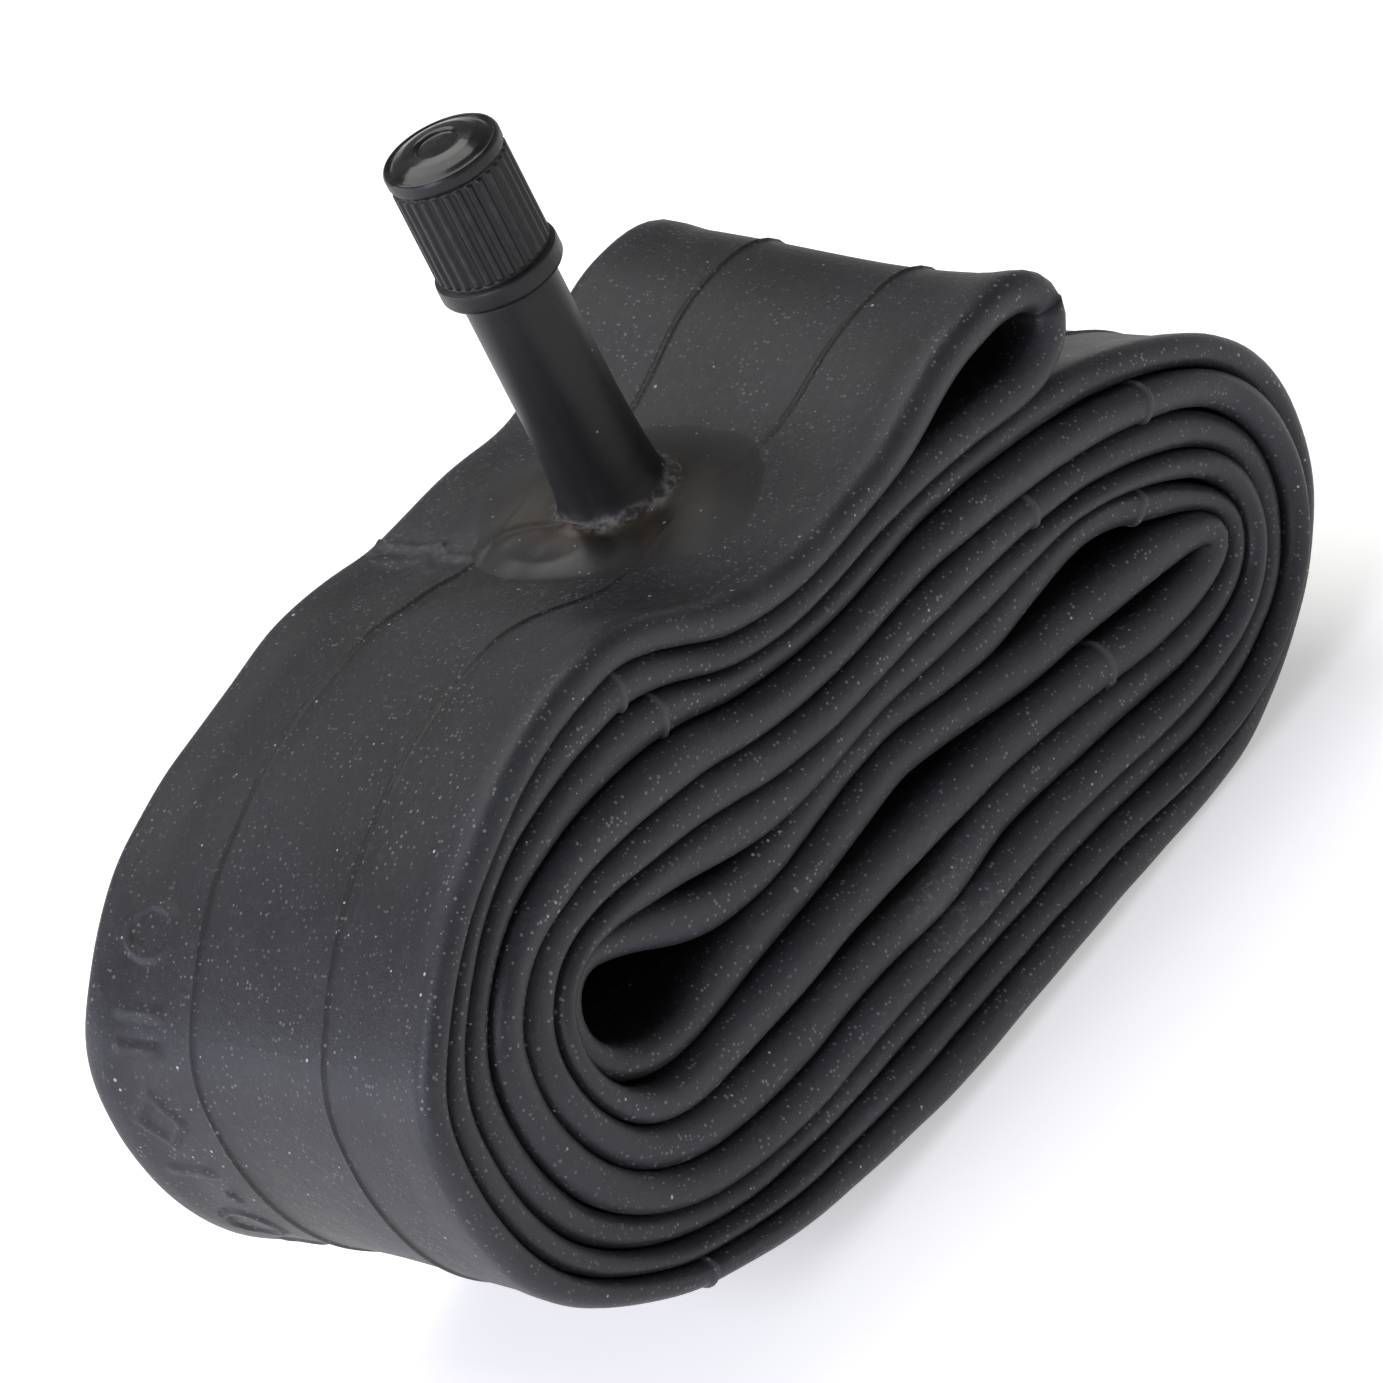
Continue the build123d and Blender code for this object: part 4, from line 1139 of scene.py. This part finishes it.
@dataclass
class DustCap:
    """Moulded cap with a plain collar, ribbed skirt, rim, polished dome and threaded bore.

    Attributes:
        foot: the valve's foot in metres.
        mouth: height of the cap's mouth.
        roof: height of the ceiling inside.
        ribs: how many ribs.
        rib_height: how proud they stand.
        root: radius of the bore at the thread's root.
        crest: radius of the bore at the thread's crest.
        pitch: the thread's pitch.
        thread_phase: height of a thread crest at angle 0.
        thread_foot: half the thread ridge's foot, as a share of the pitch.
        thread_flank: width of one flank, as a share of the pitch.
    """

    foot: Vector
    mouth: float = 22.6
    roof: float = 12.52
    ribs: int = 30
    rib_height: float = 0.3
    root: float = 3.955
    crest: float = 3.47
    pitch: float = 0.794
    thread_phase: float = 1.397
    thread_foot: float = 0.353
    thread_flank: float = 0.327

    def outline(self) -> list[tuple[float, float]]:
        """Profile from the middle of the dome, down the outside and up the bore."""
        outside = [(0.05, 13.42), (1.75, 13.4), (1.95, 13.62), (2.2, 13.72), (3.2, 13.55), (4.1, 13.2), (4.55, 12.9),
                   (4.68, 12.86), (4.8, 13.05), (5.05, 12.98), (5.2, 12.7), (5.2, 11.85), (4.95, 11.55)]
        skirt = [(4.86, z) for z in (11.4, 11.1, 10.7, 8.5, 5.8, 3.2, 2.6, 2.25)]
        collar = [(5.0, 2.05), (5.42, 1.9), (5.47, 1.6), (5.47, 0.35), (5.25, 0.0), (4.45, 0.0)]
        rounded = softened([*outside, *skirt, *collar], 0.12, 3)
        bore = [(4.15, 0.2), (4.13, 2.6), (self.root, 3.0)]
        bore += [(self.root, z) for z in np.arange(3.1, self.roof - 1.5, 0.08)]
        return [*rounded, *bore, (self.root, self.roof), (0.05, self.roof)]

    def build(self) -> bpy.types.Object:
        """Turns the cap with its ribs and thread.

        Returns:
            The cap's object, riding on the cap body.
        """
        outline = [(r, z + self.mouth) for r, z in self.outline()]

        def rib(angle: Array) -> Array:
            """Rounded rib profile round the skirt."""
            return np.clip(np.cos(angle * self.ribs) * 0.75 + 0.45, 0, 1) ** 0.8

        def radius(r: Array, z: Array, angle: Array) -> Array:
            """The cap's radius with ribs outside and thread inside."""
            up = z - self.mouth
            outside = (r > 4.8) & (r < 4.98)
            ribbed = self.rib_height * rib(angle) * smooth(2.1, 2.5, up) * smooth(11.5, 11.15, up) * outside
            turn = np.mod((up - self.thread_phase) / self.pitch - angle / FULL_TURN, 1.0)
            away = np.minimum(turn, 1 - turn)
            ridge = np.clip((self.thread_foot - away) / self.thread_flank, 0, 1) * (self.root - self.crest)
            threaded = (np.abs(r - self.root) < 0.01) & (up > 3.05) & (up < self.roof - 1.6)
            return r + ribbed - ridge * smooth(3.0, 3.6, up) * threaded

        def masks(r: Array, z: Array, angle: Array) -> dict[str, Array]:
            """Crests of the ribs, and the polished dome."""
            up = z - self.mouth
            outside = (r > 4.8) & (up > 2.2) & (up < 11.5)
            return {"crest": rib(angle) * outside, "dome": smooth(12.6, 12.9, up) * (r < 5.1)}

        cap = Grid.turned("ribbed_cap", outline, 12 * self.ribs, self.foot, radius, masks)
        cap.data.materials.append(CapPlastic().material())
        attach(cap, "cap")
        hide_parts("cap_shell")
        return cap


@dataclass
class ReturnSpring:
    """Coil spring of the valve core, which shortens as the pin is pressed.

    Attributes:
        wire: the wire's diameter.
        turns: how many turns it has.
        stroke: how far the pin goes down; not used.
        sides: points round the wire.
        steps: points along each turn.
    """

    wire: float = 0.28
    turns: int = 7
    stroke: float = 1.2
    sides: int = 12
    steps: int = 40

    def build(self) -> bpy.types.Object:
        """Winds the spring in the place of the plain one.

        Returns:
            The spring's object, riding on the core body.
        """
        low, high = (np.array(corner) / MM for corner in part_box("core_spring"))
        centre = Vector(((low[0] + high[0]) / 2 * MM, (low[1] + high[1]) / 2 * MM, low[2] * MM))
        tall = high[2] - low[2]
        radius = (high[0] - low[0] - self.wire) / 2
        climb = tall - self.wire
        share = np.linspace(0, 1, self.turns * self.steps + 1)[:, None]
        turn = FULL_TURN * self.turns * share
        slope = math.atan2(climb, FULL_TURN * radius * self.turns)
        side = np.linspace(0, FULL_TURN, self.sides, endpoint=False)[None, :]
        out, lift = self.wire / 2 * np.cos(side), self.wire / 2 * np.sin(side)
        drift = -lift * math.sin(slope)
        x = (radius + out) * np.cos(turn) - drift * np.sin(turn)
        y = (radius + out) * np.sin(turn) + drift * np.cos(turn)
        z = self.wire / 2 + climb * share + lift * math.cos(slope)
        spring = Grid.piece("return_spring", np.stack([x, y, z], -1), centre, {}, False, True)
        spring.data.materials.append(Metal("spring_steel", **STEEL).material())
        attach(spring, "core")
        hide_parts("core_spring")
        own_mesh(spring)
        return spring


@dataclass
class ValveFittings:
    """The metal and sealing pieces inside the valve, which keep their own shapes.

    Attributes:
        brass: nodes of brass.
        steel: nodes of steel.
        seals: nodes of sealing rubber.
    """

    brass: tuple[str, ...] = ("stem_insert", "core_plug", "core_barrel", "seat_cup")
    steel: tuple[str, ...] = ("core_pin",)
    seals: tuple[str, ...] = ("core_gasket", "seat_seal", "cap_seal")

    def dress(self) -> None:
        """Gives every fitting its finish."""
        steel = Metal("drawn_steel", **STEEL)
        for names, finish in ((self.brass, Metal("machined_brass")), (self.steel, steel), (self.seals, SealRubber())):
            material = finish.material()
            for name in names:
                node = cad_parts[name]
                if not node.material_slots:
                    node.data.materials.append(material)
                for held in node.material_slots:
                    held.material = material
                LOG.info("%s dressed in %s", name, material.name)


@dataclass
class Studio:
    """Pale floor, soft lights and the camera.

    Attributes:
        foot: the valve's foot in metres.
        right: the camera's right.
        up: the camera's up.
        back: from the subject to the camera.
        aim: where it aims, as (right, up) from the valve's foot.
        distance: from the camera to the subject.
        lens: focal length.
        floor_reach: from the floor's middle to its sides, in metres.
        floor_drop: how far the floor lies below the bundle, in metres.
        sky: strength of the surround.
    """

    foot: Vector
    right: tuple[float, float, float] = (0.5643, -0.7250, -0.3949)
    up: tuple[float, float, float] = (0.6330, 0.0729, 0.7707)
    back: tuple[float, float, float] = (-0.5300, -0.6849, 0.5000)
    aim: tuple[float, float] = (6.45, -16.72)
    distance: float = 800.0
    lens: float = 249.9
    floor_reach: float = 2.5
    floor_drop: float = 0.00005
    sky: float = 0.2

    def build(self) -> None:
        """Sets up the floor, the lights, the sky and the camera."""
        self._floor()
        self._light("key_overhead", (0.05, 0.25, 0.62), (0.7, 0.55), 3.4, (1.0, 0.99, 0.97))
        self._light("left_window", (-0.62, -0.1, 0.34), (0.3, 0.4), 3.6, (0.86, 0.85, 1.0))
        self._light("back_left", (-0.5, 0.55, 0.14), (0.5, 0.2), 2.2, (0.84, 0.83, 1.0))
        self._light("front_fill", (0.1, -0.7, 0.35), (0.5, 0.4), 0.3, (1.0, 0.99, 0.98))
        self._sky()
        self._camera()
        bpy.context.scene.view_settings.view_transform = "Standard"

    def _floor(self) -> None:
        """A floor that curves up far behind the bundle."""
        lines = np.linspace(-self.floor_reach, self.floor_reach, 21)
        x, y = np.meshgrid(lines, lines)
        rise = 0.35 * smooth(1.6, self.floor_reach, np.hypot(x, y))
        points = np.stack([x, y, rise - self.floor_drop], -1) / MM
        floor = Grid.piece("studio_floor", points, Vector((0, 0, 0)), {}, False, False)
        floor.data.materials.append(StudioFloor().material())

    def _light(self, name: str, place: tuple[float, float, float], size: tuple[float, float], power: float,
               colour: tuple[float, float, float]) -> None:
        """Adds a soft rectangular light aimed at the bundle.

        Args:
            name: the light's name.
            place: where it stands, in metres.
            size: its width and height in metres.
            power: its power in watts.
            colour: its colour.
        """
        data = bpy.data.lights.new(name, "AREA")
        data.shape = "RECTANGLE"
        data.size, data.size_y = size
        data.energy = power
        data.color = colour
        lamp = bpy.data.objects.new(name, data)
        lamp.location = place
        lamp.rotation_euler = (Vector((0, 0, 0.03)) - Vector(place)).to_track_quat("-Z", "Y").to_euler()
        bpy.context.scene.collection.objects.link(lamp)

    def _sky(self) -> None:
        """An even white surround."""
        world = bpy.data.worlds.new("white_surround")
        world.use_nodes = True
        ground = world.node_tree.nodes["Background"]
        ground.inputs["Color"].default_value = (1.0, 1.0, 1.0, 1.0)
        ground.inputs["Strength"].default_value = self.sky
        bpy.context.scene.world = world

    def _camera(self) -> None:
        """Places the camera."""
        right, up, back = Vector(self.right), Vector(self.up), Vector(self.back)
        data = bpy.data.cameras.new("studio_camera")
        data.lens = self.lens
        data.sensor_width = 36.0
        data.clip_end = 20.0
        camera = bpy.data.objects.new("studio_camera", data)
        place = self.foot + (self.aim[0] * right + self.aim[1] * up + self.distance * back) * MM
        turn = Matrix((right, up, back)).transposed().to_4x4()
        camera.matrix_world = Matrix.Translation(place) @ turn
        bpy.context.scene.collection.objects.link(camera)
        bpy.context.scene.camera = camera


def valve_foot() -> Vector:
    """The valve's foot: on the stem's axis, level with the top of the patch."""
    stem_low, stem_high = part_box("stem_jacket")
    _, patch_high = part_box("valve_patch")
    return Vector(((stem_low.x + stem_high.x) / 2, (stem_low.y + stem_high.y) / 2, patch_high.z))


def main() -> None:
    """Builds every sub-assembly in order and reports each piece."""
    logging.basicConfig(level=logging.INFO, format="%(name)s: %(message)s")
    foot = valve_foot()
    tube = RolledTube(foot)
    makers = (tube, ValvePatch(tube), StemSleeve(foot), DustCap(foot), ReturnSpring())
    for piece in (maker.build() for maker in makers):
        LOG.info("%s with %d faces", piece.name, len(piece.data.polygons))
    ValveFittings().dress()
    Studio(foot).build()


if __name__ == "__main__":
    main()
